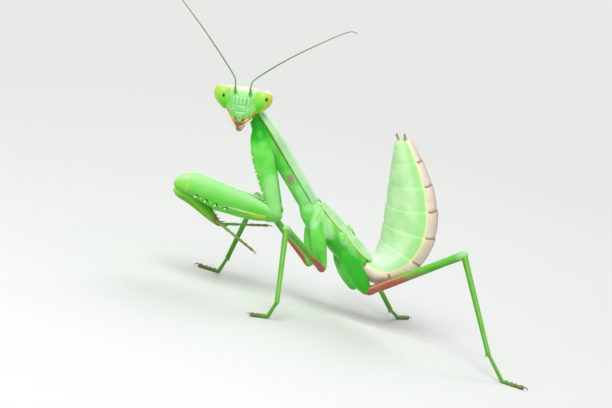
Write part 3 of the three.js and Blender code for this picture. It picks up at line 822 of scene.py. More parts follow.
plates = [
    face_plate("face_shield", 0.10, -0.86, 1.06, 1.02, 0.06, (-0.86, -0.44, -0.02, 0.36, 0.84)),
    face_plate("clypeus", -0.88, -1.60, 0.98, 0.86, 0.06, (-0.95, 0.95)),
    face_plate("upper_lip", -1.60, -2.80, 0.78, 0.20, 0.13),
]
hand_over(joined("face_plates", plates), head_frame @ PLATE_SHIFT, plate_finish,
          levels=1)
print("plates on the face:", len(plates))

# %% Seams beside the plates
SEAM_LINE = ((1.12, 0.55), (1.20, 0.20), (1.22, -0.40), (1.14, -1.10), (1.00, -1.70))
SEAM_SINK = 0.005                # mm

seams = [rod("seam", [(face_depth(side * y, z) - SEAM_SINK, side * y, z) for y, z in SEAM_LINE],
             tapering(0.06, 0.4), 20) for side in (1, -1)]
hand_over(joined("face_seams", seams), head_frame @ PLATE_SHIFT, seam_finish,
          levels=1)
print("seams:", len(seams))

# %% [markdown]
# ## Mouthparts
# Two jaws meet under the lip, behind them is the brown lower mouth, and two pairs of jointed palps
# cross in front in a V. One lump would do from afar, but the palps stand out against the jaws. A
# palp is a rod whose radius dips at each joint.

# %% Jaws and lower mouth
JAW_FLAT = Matrix.Translation((0.52, 0, 0)) @ Matrix.Diagonal((0.6, 1, 1, 1))
MOUTH_LEVELS = [(-3.86, 0.16, 0.14, 0.12), (-3.74, 0.34, 0.28, 0.24), (-3.35, 0.54, 0.40, 0.36),
                (-2.8, 0.78, 0.50, 0.50), (-2.3, 0.90, 0.50, 0.55), (-2.0, 0.80, 0.40, 0.45)]

jaws = []
for side in (1, -1):
    jaw = rod("jaw", [(-0.80, side * 0.96, -2.18), (-0.10, side * 0.84, -2.44),
                      (0.26, side * 0.50, -2.78), (0.26, side * 0.08, -3.02)],
              lambda t: 0.235 - 0.065 * t, 10, 12)
    jaw.data.transform(JAW_FLAT)
    jaws.append(jaw)
hand_over(joined("jaws", jaws), head_frame, jaw_finish, levels=1)

mouth = loft("lower_mouth", level_rings(MOUTH_LEVELS), 16)
hand_over(mouth, head_frame, lip_finish, ["mouthparts"])
print("lower mouth reaches below the head's middle, in mm:", -MOUTH_LEVELS[0][0])

# %% Palps
DIP_REACH = 0.16                 # share of a joint over which its radius dips


def jointed(radius, joints, dip=0.72, end=0.8):
    """A radius that dips at each joint and shrinks a little toward the end."""
    def at(t):
        share = (t * joints) % 1
        near = min(share, 1 - share)
        return radius * (1 - (1 - end) * t) * (dip + (1 - dip) * min(near / DIP_REACH, 1))
    return at


palps = []
for side in (1, -1):
    palps.append(rod("palp", [(0.42, side * 1.26, -2.08), (0.74, side * 1.42, -2.30),
                              (0.90, side * 1.10, -2.68), (0.98, side * 0.66, -3.02),
                              (0.94, side * 0.14, -3.38)], jointed(0.075, 4, 0.85), 28))
    palps.append(rod("palp", [(0.30, side * 0.34, -3.0), (0.48, side * 0.44, -3.3),
                              (0.52, side * 0.22, -3.62)], jointed(0.065, 3), 14))
hand_over(joined("palps", palps), head_frame, palp_finish, levels=1)
print("palps:", len(palps))

# %% [markdown]
# ## Feelers
# A feeler has a stout base, a short second joint and a whip of many short rings that thins out to
# the tip. Separate rings would need many pieces and show no more, so the whip is one long rod
# whose radius dips at every ring. The three small eyes lie between the feelers.

# %% Feelers
FEELER_PATHS = {
    "left": [(1.05, 0.86, 0.45), (1.42, 0.88, 0.95), (1.66, 0.91, 1.5), (1.74, 1.40, 2.45),
             (1.62, 4.83, 5.3), (1.22, 8.91, 8.1), (0.77, 10.97, 9.3), (0.55, 11.9, 9.27)],
    "right": [(1.05, -0.86, 0.45), (1.48, -0.90, 0.95), (1.80, -0.92, 1.6), (2.05, -1.36, 2.6),
              (2.78, -4.6, 6.3), (3.31, -8.06, 9.8), (3.33, -9.87, 11.3), (3.29, -10.36, 12.05)],
}
FEELER_RINGS = 46


def feeler_radius(t):
    stout = 0.165 * exp(-(t / 0.07) ** 4)
    ring = 0.92 + 0.08 * cos(2 * pi * FEELER_RINGS * t)
    return max(stout, (0.10 - 0.052 * t) * ring)


for name, path in FEELER_PATHS.items():
    feeler = rod(f"feeler_{name}", path, feeler_radius, 160)
    socket = rod("socket", [path[0], Vector(path[0]).lerp(Vector(path[1]), 0.42)],
                 lambda t: 0.235 - 0.07 * t, 4, 12)
    scale_place(socket, share=0)
    hand_over(joined(f"feeler_{name}", [feeler, socket]), head_frame, feeler_finish,
              [f"antenna_{name}_base", f"antenna_{name}_lower", f"antenna_{name}_upper"], levels=1)
print("rings in a feeler:", FEELER_RINGS)

# %% Three small eyes
OCELLUS_LEVELS = [(z, half, half, half) for z, half in
                  ((-0.08, 0.03), (-0.06, 0.07), (0.0, 0.09), (0.06, 0.07), (0.08, 0.03))]
OCELLUS_PLACES = ((0.0, 0.60), (0.24, 0.76), (-0.24, 0.76))  # mm outward and up the head
OCELLUS_SINK = 0.02              # mm

ocelli = copied(loft("ocellus", level_rings(OCELLUS_LEVELS), 10), [
    Matrix.Translation((face_depth(y, z) - OCELLUS_SINK, y, z)) for y, z in OCELLUS_PLACES])
hand_over(joined("ocelli", ocelli), head_frame, seam_finish, levels=1)
print("small eyes:", len(ocelli))

# %% [markdown]
# ## One skin for the soft body
# The neck, the sides of the thorax and the six hips are one soft skin on the live animal, without
# seams. A boolean union would join them with hard edges. So they are modelled as simple tubes that
# overlap, then fused: a voxel remesh turns them into one surface, and a smoothing pass rounds the
# folds between them. First the list of tubes is filled, part by part.

# %% Neck
NECK_RADIUS, NECK_SAG = 0.80, 0.01       # mm, and how much deeper each step toward the body is
NECK_STEPS, NECK_FOLDS, FOLD_DEPTH = 18, 6, 0.05
body_tubes = []


def add_to_body(tube, here, levels=2):
    smoothed(tube, levels)
    tube.data.transform(here)
    body_tubes.append(tube)


neck_line = PROTHORAX_START - HEAD_CENTRE
neck_frame = aim(HEAD_CENTRE, degrees(atan2(neck_line.y, neck_line.x)),
                 degrees(asin(neck_line.z / neck_line.length)))
neck_stations = []
for k in range(NECK_STEPS + 1):
    folded = NECK_RADIUS * (1 + FOLD_DEPTH * cos(pi * NECK_FOLDS * k / (NECK_STEPS / 2)))
    neck_stations.append((k / NECK_STEPS, folded, folded, NECK_RADIUS + NECK_SAG * k))
add_to_body(straight("neck_skin", neck_line.length, neck_stations), neck_frame)
print("neck length in mm:", round(neck_line.length, 2))

# %% [markdown]
# ## Prothorax
# The long first part of the thorax has a shield over its back: a roof with a low keel, widest
# where the forelegs hang, with a row of tiny teeth on each front margin. Its sides are soft and
# belong to the body skin. The shield is a plate of its own, because its margin stands out sharply.
# One tooth is modelled and copied along both margins.

# %% Prothorax and its shield
prothorax_frame = aim(PROTHORAX_START, 0, PROTHORAX_PITCH)
SHIELD_UNDER, SHIELD_LIFT = 0.12, 0.2    # mm


def keeled(ring, u, w):
    """A roof with a low keel along its middle and a slightly drawn-out margin."""
    here, side, above, below, _ = ring
    keel = 0.06 * exp(-(u / 0.13) ** 2) if w > 0 else 0
    lip = 0.05 * exp(-(w / 0.14) ** 2)
    return here @ Vector((0, (side + lip) * u, (above * w ** 0.85 if w > 0 else below * w) + keel))


shield_stations = [(*station, SHIELD_UNDER, SHIELD_LIFT) for station in (
    (-0.04, 0.82, 0.62), (0.03, 1.10, 0.80), (0.10, 1.40, 0.99), (0.17, 1.58, 1.10),
    (0.235, 1.66, 1.12), (0.255, 1.64, 1.05), (0.275, 1.58, 1.12), (0.33, 1.42, 1.16),
    (0.40, 1.27, 1.14), (0.55, 1.17, 1.09), (0.70, 1.11, 1.05), (0.85, 1.12, 1.02),
    (0.94, 1.16, 0.99), (0.99, 1.14, 0.92), (1.01, 1.05, 0.84),
)]
shield = straight("neck_shield", PROTHORAX_LENGTH, shield_stations, 0.35, 0.25, 28, keeled)
hand_over(shield, prothorax_frame, shield_finish, ["pronotum"])

side_stations = [(*station, -0.05) for station in (
    (0.0, 0.84, 0.25, 1.04), (0.08, 1.10, 0.3, 1.34), (0.17, 1.28, 0.3, 1.44),
    (0.25, 1.34, 0.3, 1.42), (0.36, 1.13, 0.3, 1.30), (0.50, 1.02, 0.3, 1.22),
    (0.70, 0.95, 0.3, 1.15), (0.86, 0.98, 0.3, 1.18), (0.97, 1.04, 0.3, 1.20),
)]
add_to_body(straight("prothorax_side", PROTHORAX_LENGTH, side_stations, 0.4, 0.4, 20),
            prothorax_frame)
print("greatest width of the shield in mm:", 2 * max(station[1] for station in shield_stations))

# %% Teeth of the shield
TEETH = 22                       # on each margin
FIRST_TOOTH, TEETH_SPAN = 0.02, 0.40     # shares of the shield's length
TOOTH_OUT, TOOTH_UP = 0.06, 0.22         # mm

bpy.ops.mesh.primitive_cone_add(vertices=6, radius1=0.07, radius2=0.01, depth=0.16)
tooth = bpy.context.object
teeth_frames = []
for number in range(TEETH):
    share = FIRST_TOOTH + TEETH_SPAN * number / (TEETH - 1)
    half = between(shield_stations, share)[0]
    for side in (-1, 1):
        teeth_frames.append(Matrix.Translation((share * PROTHORAX_LENGTH,
                                                side * (half + TOOTH_OUT), TOOTH_UP))
                            @ Matrix.Rotation(radians(-side * 90), 4, "X"))
teeth = joined("shield_teeth", copied(tooth, teeth_frames))
hand_over(teeth, prothorax_frame, wart_finish, levels=0)
print("teeth on the shield:", len(teeth_frames))

# %% [markdown]
# ## The wing-bearing thorax
# Behind the shield come two more rings of the thorax. Their sides are built of plates that meet
# in raised seams. A bump in the finish would leave the outline smooth, so ridges are laid on each
# side in an upturned V, following the surface, and are fused into the skin.

# %% Middle and hind thorax
thorax_frame = aim(THORAX_START, 0, THORAX_PITCH)
# distance along in mm, half-width, height above, height below
MESO_STATIONS = [(-0.4, 0.92, 0.60, 1.20), (0.0, 1.05, 0.80, 1.45), (0.45, 1.20, 0.95, 1.72),
                 (1.0, 1.36, 1.07, 1.92), (1.7, 1.55, 1.15, 2.08), (2.5, 1.70, 1.21, 2.08),
                 (3.4, 1.82, 1.25, 1.96), (4.5, 1.84, 1.22, 1.80)]
META_STATIONS = [(4.85, 1.84, 1.22, 1.74), (5.6, 1.92, 1.25, 1.84), (6.6, 1.93, 1.25, 1.86),
                 (8.0, 1.95, 1.20, 1.76), (9.0, 1.90, 1.15, 1.62), (9.5, 1.80, 1.08, 1.48)]
FLATNESS = 0.85                  # below 1 the sides are flatter than an oval's


def boxy(ring, u, w):
    here, side, above, below, _ = ring
    reach = (1 if u > 0 else -1) * abs(u) ** FLATNESS
    return here @ Vector((0, side * reach, (above if w > 0 else below) * w))


for name, stations in (("mesothorax", MESO_STATIONS), ("metathorax", META_STATIONS)):
    rows = rounded([(*s, 0.0) for s in stations], 0.3, 0.3)
    rings = [(Matrix.Translation((x, 0, lift)), a, b, c, x / THORAX_LENGTH)
             for x, a, b, c, lift in rows]
    add_to_body(loft(f"{name}_shell", rings, 24, boxy), thorax_frame)
print("tubes in the body so far:", len(body_tubes))

# %% Ridges of the thorax
RIDGES = [                       # each a chain of (distance along, climb)
    [(0.9, 0.40), (1.2, 0.0), (1.7, -0.35), (2.3, -0.62)],
    [(1.0, 0.42), (1.9, 0.16), (3.2, -0.12), (4.3, -0.40)],
    [(4.9, 0.30), (5.5, 0.02), (6.3, -0.35)],
    [(5.1, 0.32), (6.6, 0.12), (8.2, -0.10), (9.3, -0.35)],
]
RIDGE_LIFT = 0.02                # mm


def on_thorax(x, side, climb, lift=0.0):
    """A point of the thorax's side. climb runs from -1 under it to 1 on the back."""
    half, above, below = between(MESO_STATIONS + META_STATIONS, x)
    high = (above if climb > 0 else below) + lift
    angle = climb * pi / 2
    return Vector((x, side * (half + lift) * cos(angle) ** FLATNESS, high * sin(angle)))


for side in (-1, 1):
    for chain in RIDGES:
        add_to_body(rod("ridge", [on_thorax(x, side, climb, RIDGE_LIFT) for x, climb in chain],
                        tapering(0.17, 0.4), 14), thorax_frame, 1)
print("tubes in the body with the ridges:", len(body_tubes))

# %% [markdown]
# ## Wing pads
# A nymph has no wings yet, only four leaf-shaped pads that lie like roof tiles on its back. A
# plane with thickness would have blunt edges, so a pad is a flat tube that closes to a thin rim.
# The rim's yellow comes from its finish.

# %% Wing pads
PADS = {
    "fore": {"start": 0.6, "length": 5.6, "out": 1.15, "up": 1.05, "slope": 42, "width": 0.76},
    "hind": {"start": 5.3, "length": 4.7, "out": 1.3, "up": 1.0, "slope": 42, "width": 0.78},
}
PAD_UNDER = 0.18                 # mm
PAD_STATIONS = ((0.02, 0.45, 0.18), (0.12, 0.72, 0.21), (0.30, 0.90, 0.22), (0.52, 0.98, 0.22),
                (0.74, 0.94, 0.21), (0.90, 0.66, 0.20), (0.98, 0.36, 0.18))

for pair, pad in PADS.items():
    for name, side in (("left", -1), ("right", 1)):
        flap = straight(f"wing_pad_{pair}_{name}_flap", pad["length"], [
            (share, half * pad["width"], high, PAD_UNDER) for share, half, high in PAD_STATIONS],
            around=20)
        scale_place(flap, across=side)
        pad_frame = (thorax_frame @ Matrix.Translation((pad["start"], side * pad["out"], pad["up"]))
                     @ Matrix.Rotation(radians(-side * pad["slope"]), 4, "X"))
        hand_over(flap, pad_frame, wing_pad_finish, [f"wing_pad_{pair}_{name}"])
print("wing pads:", 2 * len(PADS))

# %% [markdown]
# ## The abdomen
# The abdomen bends up over the back. Its centre line turns quickly at first and then settles, and
# its section twists a little. A bend modifier turns evenly, so each ring gets its own frame from a
# formula here. Each body ring swells toward its rear edge and tucks in under it, so the outline is
# softly stepped. A narrow keel runs along both sides.

# %% Abdomen
CURVE_STEPS = 60                 # for adding up the centre line
ABDOMEN_WIDTHS = [(0, 1.75), (2.5, 2.75), (6, 3.8), (9.5, 4.0), (13, 3.4), (16, 2.45),
                  (18, 1.65), (19.3, 1.0)]       # mm along, half-width
RING_PROFILE = [(0.03, 0.965), (0.10, 0.985), (0.35, 0.995), (0.65, 1.0), (0.88, 1.015),
                (0.96, 1.01), (0.99, 0.985)]     # share of a body ring, size


def settle(distance, length):
    return 1 - exp(-distance / length)


def abdomen_pitch(distance):
    return FIRST_PITCH + (LAST_PITCH - FIRST_PITCH) * settle(distance, BEND_LENGTH)


def abdomen_frame(distance):
    centre = ABDOMEN_START.copy()
    for k in range(CURVE_STEPS):
        pitch = abdomen_pitch(distance * (k + 0.5) / CURVE_STEPS)
        centre += direction(0, pitch) * (distance / CURVE_STEPS)
    return aim(centre, 0, abdomen_pitch(distance), TWIST * settle(distance, TWIST_LENGTH))


def bellied(ring, u, w):
    """Keel at the sides, low ridge on the back and a full belly."""
    here, side, above, below, _ = ring
    keel = 0.10 * exp(-(w / 0.10) ** 2)
    if w > 0:
        height = above * (0.86 * w + 0.14 * w ** 3)
    else:
        height = -below * (-w) ** 0.8
    return here @ Vector((0, (side - 0.06 + keel) * u, height))


def closing_ring(distance, ring, size, share):
    """A smaller ring just beyond the first or the last one."""
    return (abdomen_frame(distance), *(half * size for half in ring[1:4]), share)


width_curve = smooth_path([(x, y, 0) for x, y in ABDOMEN_WIDTHS], 200)
plate_starts = [k * PLATE_LENGTH for k in range(7)]
plate_ends = plate_starts[1:] + [ABDOMEN_LENGTH]
abdomen_rings = []
for start, end in zip(plate_starts, plate_ends):
    for share, size in RING_PROFILE:
        distance = start + (end - start) * share
        half = between(width_curve, distance)[0]
        abdomen_rings.append((abdomen_frame(distance), half * size, (0.45 * half + 0.50) * size,
                              (0.6 * half + 0.2) * size, distance / ABDOMEN_LENGTH))
abdomen_rings = [closing_ring(-0.25, abdomen_rings[0], 0.7, 0.0), *abdomen_rings,
                 closing_ring(ABDOMEN_LENGTH + 0.12, abdomen_rings[-1], 0.6, 1.0)]
abdomen = loft("abdomen_skin", abdomen_rings, 44, bellied)
hand_over(abdomen, Matrix(), abdomen_finish,
          [f"abdomen_{k}" for k in range(1, 8)], levels=1)
print("abdomen faces:", len(abdomen.data.polygons))

# %% Cerci
CERCUS_JOINTS = 5
tip_frame = abdomen_frame(ABDOMEN_LENGTH)
for name, side in (("left", -1), ("right", 1)):
    cercus = rod(f"cercus_{name}_feeler", [(-0.35, side * 0.5, 0.12), (0.3, side * 0.58, 0.14),
                                           (0.9, side * 0.68, 0.20)],
                 jointed(0.24, CERCUS_JOINTS, 0.8, 0.5), 24)
    hand_over(cercus, tip_frame, cercus_finish, [f"cercus_{name}"], levels=1)
print("joints in a cercus:", CERCUS_JOINTS)

# %% [markdown]
# ## Forelegs
# The grasping legs have a long hip, a deep thigh with a groove and two rows of spines, and a short
# shin that folds up against it and ends in a hook. The hip carries a row of yellow warts. Spines
# and warts could be bumps in the finish, but they stand out in the outline, so they are small
# meshes, modelled once for each size and copied along their rows.

# %% Foreleg finishes
def grasping_thigh_colour(tree, mottle):
    share, _, up = kept_on_mesh(tree)
    green, light = colour(0.09, 0.60, 0.02), colour(0.26, 0.77, 0.15)
    knee, streak = colour(0.24, 0.68, 0.05), colour(0.48, 0.86, 0.38)
    # the whitish mint is a painted sheen for the top edge
    painted_top_sheen, pale_line = colour(0.56, 0.88, 0.50), colour(0.80, 0.88, 0.42)
    olive, lobe = colour(0.62, 0.60, 0.06), colour(0.56, 0.74, 0.12)
    # painted highlight: the face turns lighter toward its upper side
    face = paint(tree, rise(tree, up, -0.25, 0.65), green, light)
    face = tint(tree, mottle, 0.15, face, MINT)
    face = tint(tree, rise(tree, share, 0.84, 0.98), 0.6, face, knee)
    streaks = calculate(tree, "SINE", times(tree, up, 26.0))
    streaks = times(tree, rise(tree, streaks, 0.2, 1.0), rise(tree, up, -0.35, 0.0))
    face = tint(tree, streaks, 0.12, face, streak)
    # painted sheen: whitish mint along the top edge
    face = tint(tree, rise(tree, up, 0.30, 0.95), 0.5, face, painted_top_sheen)
    line = times(tree, band(tree, up, -0.40, 0.025, 0.05), fall(tree, share, 0.30, 0.56))
    face = paint(tree, line, face, pale_line)
    patch = times(tree, band(tree, up, -0.50, 0.10, 0.14), fall(tree, share, 0.06, 0.26))
    face = tint(tree, patch, 0.8, face, olive)
    return tint(tree, band(tree, share, 0.93, 0.004, 0.012), 0.35, face, lobe)


def grasping_shin_colour(tree, mottle):
    share, _, up = kept_on_mesh(tree)
    light, green = colour(0.13, 0.50, 0.012), colour(0.045, 0.40, 0.01)
    edge_olive, tip_brown = colour(0.42, 0.34, 0.02), colour(0.28, 0.10, 0.03)
    face = paint(tree, rise(tree, up, -0.6, 0.7), light, green)
    face = tint(tree, fall(tree, up, -0.98, -0.72), 0.7, face, edge_olive)
    ragged = calculate(tree, "ADD", share, times(tree, mottle, 0.1))
    return paint(tree, rise(tree, ragged, 0.90, 1.06), face, tip_brown)


grasping_thigh_finish = make_finish("grasping thigh", grasping_thigh_colour, 0.30, 11000.0)
grasping_shin_finish = make_finish("grasping shin", grasping_shin_colour, 0.32, 11000.0)
print("foreleg finishes:", grasping_thigh_finish.name, grasping_shin_finish.name)

# %% Places on a limb
def make_spine(length, radius):
    """A curved thorn that stands on its root along +Z."""
    return rod("spine", [(0, 0, -0.15), (0, 0, 0.25 * length), (0.05 * length, 0, 0.65 * length),
                         (0.16 * length, 0, length)], tapering(radius, 0.85, 1.8), 6)


def on_limb(stations, length, share, climb, side):
    """A point on a limb's surface and the direction straight out of it."""
    half, above, below = between(stations, share)
    angle = radians(climb)
    high = above if climb > 0 else below
    point = Vector((share * length, side * half * cos(angle), high * sin(angle)))
    out = Vector((0, side * cos(angle) / half, sin(angle) / high)).normalized()
    return point, out


def standing(point, out, lean):
    """A frame at a point whose +Z leaves the surface, leaning along the limb."""
    up = (out + Vector((lean, 0, 0))).normalized()
    side = up.cross(Vector((1, 0, 0))).normalized()
    ahead = side.cross(up)
    return Matrix.Translation(point) @ Matrix((ahead, side, up)).transposed().to_4x4()


def make_claws(size, x, z=0.0):
    """Two small curved claws at the end of a foot that runs along +X."""
    return [rod("claw", [(x - 0.1, side * 0.05, z), (x + 0.4 * size, side * 0.28 * size, z),
                         (x + 0.85 * size, side * 0.42 * size, z - 0.12 * size),
                         (x + 1.0 * size, side * 0.44 * size, z - 0.42 * size)],
                tapering(0.085, 0.85), 8, 7) for side in (-1, 1)]


leaning = standing(Vector(), Vector((0, 0, 1)), 0.5)
print("a thorn leaning by a half points along:", [round(row[2], 2) for row in leaning][:3])

# %% Sizes of the grasping leg
# share of the length, half-width, height above, height below
COXA_STATIONS = [(0.04, 0.75, 0.95, 1.32), (0.14, 0.84, 1.10, 1.46), (0.25, 0.88, 1.20, 1.47),
                 (0.40, 0.88, 1.14, 1.38), (0.55, 0.86, 1.03, 1.24), (0.72, 0.80, 0.90, 1.07),
                 (0.86, 0.73, 0.80, 0.94), (0.93, 0.68, 0.73, 0.84), (0.98, 0.60, 0.64, 0.72)]
COXA_ROOT = [(-0.15, 0.30, 0.40, 0.72), (-0.10, 0.46, 0.62, 1.00), (-0.04, 0.62, 0.82, 1.22)]
TROCHANTER_STATIONS = [(0, 0.60, 0.70, 0.88), (0.5, 0.60, 0.72, 1.06), (1, 0.56, 0.70, 1.12)]
FEMUR_STATIONS = [(0.02, 0.50, 0.76, 1.10), (0.10, 0.62, 1.00, 1.36), (0.2, 0.74, 1.28, 1.46),
                  (0.32, 0.86, 1.52, 1.54), (0.45, 0.93, 1.70, 1.64), (0.56, 0.95, 1.82, 1.60),
                  (0.68, 0.93, 1.98, 1.36), (0.78, 0.88, 2.02, 1.02), (0.87, 0.80, 1.96, 0.72),
                  (0.93, 0.72, 1.76, 0.60), (0.97, 0.64, 1.46, 0.56)]
TIBIA_STATIONS = [(0.03, 0.44, 0.82, 0.62), (0.12, 0.46, 1.00, 0.56), (0.32, 0.48, 1.12, 0.42),
                  (0.55, 0.46, 1.02, 0.42), (0.75, 0.42, 0.80, 0.42), (0.90, 0.36, 0.55, 0.38),
                  (1.0, 0.26, 0.34, 0.30)]
FOOT_JOINTS = (0.40, 0.58, 0.72, 0.84, 1.0)      # share of the foot where each joint ends
FOOT_RADIUS = 0.2


def three_sided(ring, u, w):
    """An oval with its front face flattened to an edge."""
    here, side, above, below, _ = ring
    pinch = 1 - 0.22 * max(-w, 0) ** 1.5
    return here @ Vector((0, side * u * pinch, (above if w > 0 else below) * w))


def grooved(ring, u, w):
    """A spindle with a shallow groove along its underside."""
    here, side, above, below, t = ring
    groove = 0.22 * exp(-(u / 0.3) ** 2) * (1 if w < 0 else 0) * min(max(t - 0.35, 0) * 4, 1)
    return here @ Vector((0, side * u, (above if w > 0 else below * (1 - groove)) * w))


def hip_tube(name, length, stations, side, root, inward, section=oval):
    """A hip whose root is drawn in toward the middle of the body, so that the fuse blends it.
    root lists the stations before its start, with shares below zero."""
    rows = rounded([(s[0] * length, *s[1:4], 0.0) for s in [*root, *stations]])
    first = root[0][0] * length
    rings = [(Matrix.Translation((x, -side * inward * max(min(x / first, 1.2), 0), 0)), a, b, c,
              min(max(x / length, 0), 1)) for x, a, b, c, _ in rows]
    return loft(name, rings, 20, section)


def foot_radius(t):
    """Each joint of the foot swells to its end and is pinched before the next."""
    start = 0.0
    for end in FOOT_JOINTS:
        if t <= end + 1e-6:
            break
        start = end
    local = (t - start) / max(end - start, 1e-6)
    return FOOT_RADIUS * (0.68 + 0.32 * min(local / 0.85, 1)) * (1 if local < 0.93 else 0.78)


print("depth of the grasping thigh in mm:",
      round(max(above + below for _, _, above, below in FEMUR_STATIONS), 2))

# %% Warts, spines and thorns
WART_LEVELS = [(-0.12, 0.12, 0.12, 0.12), (0.0, 0.16, 0.16, 0.16), (0.10, 0.12, 0.12, 0.12),
               (0.16, 0.05, 0.05, 0.05)]
WARTS = ((0.20, 1.0), (0.31, 0.5), (0.37, 0.65), (0.42, 1.0), (0.52, 1.0), (0.60, 0.55),
         (0.68, 1.0), (0.80, 0.6))       # share along the hip, size
WART_CLIMB, SPINE_CLIMB, THORN_CLIMB = -66, -30, 58      # degrees up from a limb's side
WART_INWARD = 0.82               # the hip is pinched to an edge there
SPINE_ROWS = ((1, 9, 0.44, 0.82), (-1, 7, 0.46, 0.80))   # outer or inner, count, first, last
LONG_SPINE, SHORT_SPINE = (0.60, 0.18), (0.30, 0.12)     # length and radius in mm
SPINE_DROP, SPINE_SINK, LEAN = 0.25, 0.05, 0.5
THORNS, FIRST_THORN, THORN_SPAN = 8, 0.34, 0.58          # on each side, shares of the shin
THORN_LENGTH, THORN_GROWTH, THORN_RADIUS, THORN_SINK = 0.24, 0.03, 0.055, 0.03      # mm


def make_warts(name, side, coxa_frame):
    frames = []
    for share, size in WARTS:
        point, out = on_limb(COXA_STATIONS, FORELEG["coxa"], share, WART_CLIMB, side)
        point.y *= WART_INWARD
        frames.append(standing(point, out, 0.0) @ Matrix.Scale(size, 4))
    warts = copied(loft("wart", level_rings(WART_LEVELS), 10), frames)
    hand_over(joined(f"fore_{name}_warts", warts), coxa_frame, wart_finish, levels=1)


def make_thigh_spines(name, side, femur_frame):
    frames = {LONG_SPINE: [], SHORT_SPINE: []}
    for outward, count, first, last in SPINE_ROWS:
        for number in range(count):
            share = first + (last - first) * number / (count - 1)
            point, out = on_limb(FEMUR_STATIONS, FORELEG["femur"], share, SPINE_CLIMB,
                                 outward * side)
            down = (out + Vector((0, 0, -SPINE_DROP))).normalized()
            kind = SHORT_SPINE if number % 2 else LONG_SPINE
            frames[kind].append(standing(point - out * SPINE_SINK, down, LEAN))
    spines = [spine for kind, places in frames.items()
              for spine in copied(make_spine(*kind), places)]
    hand_over(joined(f"fore_{name}_thigh_spines", spines), femur_frame, spine_finish,
              levels=1)


def make_shin_spines(name, tibia_frame):
    """The hook at the end of the shin, and a row of thorns on each side."""
    length = FORELEG["tibia"]
    thorns = [rod("hook", [(length * 0.93, 0, 0.1), (length + 0.35, 0, 0.05),
                           (length + 0.85, 0, 0.32), (length + 1.15, 0, 0.75)],
                  tapering(0.24, 0.92), 10)]
    for number in range(THORNS):
        share = FIRST_THORN + THORN_SPAN * number / (THORNS - 1)
        frames = []
        for side in (-1, 1):
            point, out = on_limb(TIBIA_STATIONS, length, share, THORN_CLIMB, side)
            frames.append(standing(point - out * THORN_SINK, out, LEAN))
        thorns += copied(make_spine(THORN_LENGTH + THORN_GROWTH * number, THORN_RADIUS), frames)
    hand_over(joined(f"fore_{name}_shin_spines", thorns), tibia_frame, claw_finish,
              levels=1)


print("spines on a thigh:", sum(row[1] for row in SPINE_ROWS), "thorns on a shin:", 2 * THORNS)

# %% Forelegs
def make_foreleg(name, pose):
    hip = Vector(pose["start"])
    knee1 = along(hip, FORELEG["coxa"], *pose["coxa"])
    femur_start = along(knee1, FORELEG["trochanter"], *pose["femur"])
    knee2 = along(femur_start, FORELEG["femur"], *pose["femur"])
    ankle = along(knee2, FORELEG["tibia"], *pose["tibia"])

    coxa_frame = aim(hip, *pose["coxa"])
    add_to_body(hip_tube(f"fore_{name}_hip", FORELEG["coxa"], COXA_STATIONS, pose["side"],
                         COXA_ROOT, 0.45, three_sided), coxa_frame)
    make_warts(name, pose["side"], coxa_frame)

    trochanter = straight(f"fore_{name}_ring", FORELEG["trochanter"], TROCHANTER_STATIONS)
    hand_over(trochanter, aim(knee1, *pose["femur"]), body_green,
              [f"fore_{name}_trochanter"])

    femur_frame = aim(femur_start, *pose["femur"])
    femur = straight(f"fore_{name}_thigh", FORELEG["femur"], FEMUR_STATIONS, around=28,
                     section=grooved)
    hand_over(femur, femur_frame, grasping_thigh_finish, [f"fore_{name}_femur"])
    make_thigh_spines(name, pose["side"], femur_frame)

    tibia_frame = aim(knee2, *pose["tibia"])
    tibia = straight(f"fore_{name}_shin", FORELEG["tibia"], TIBIA_STATIONS, around=14)
    hand_over(tibia, tibia_frame, grasping_shin_finish, [f"fore_{name}_tibia"])
    make_shin_spines(name, tibia_frame)

    foot_frame = aim(ankle, *pose["tarsus"])
    length = FORELEG["tarsus"]
    foot = rod(f"fore_{name}_foot", [(0, 0, 0), (length * 0.5, 0, 0), (length, 0, 0)],
               foot_radius, 44)
    hand_over(foot, foot_frame, toe_finish, [f"fore_{name}_tarsus"], levels=1)
    hand_over(joined(f"fore_{name}_claws", make_claws(0.5, length)), foot_frame, claw_finish,
              levels=1)


for name, pose in FORELEG_POSES.items():
    make_foreleg(name, pose)
print("pieces so far:", len(made_pieces))

# %% [markdown]
# ## Walking legs
# Four thin legs carry the animal. Each has a short thick hip, a thigh that blushes salmon near the
# body, a shin with two spurs at its end, and a foot of five joints. The last four joints lie flat
# on the floor on small pads. All four could be one model, but the middle and the hind pair differ
# in size, so one function makes a leg from the sizes of its pair.

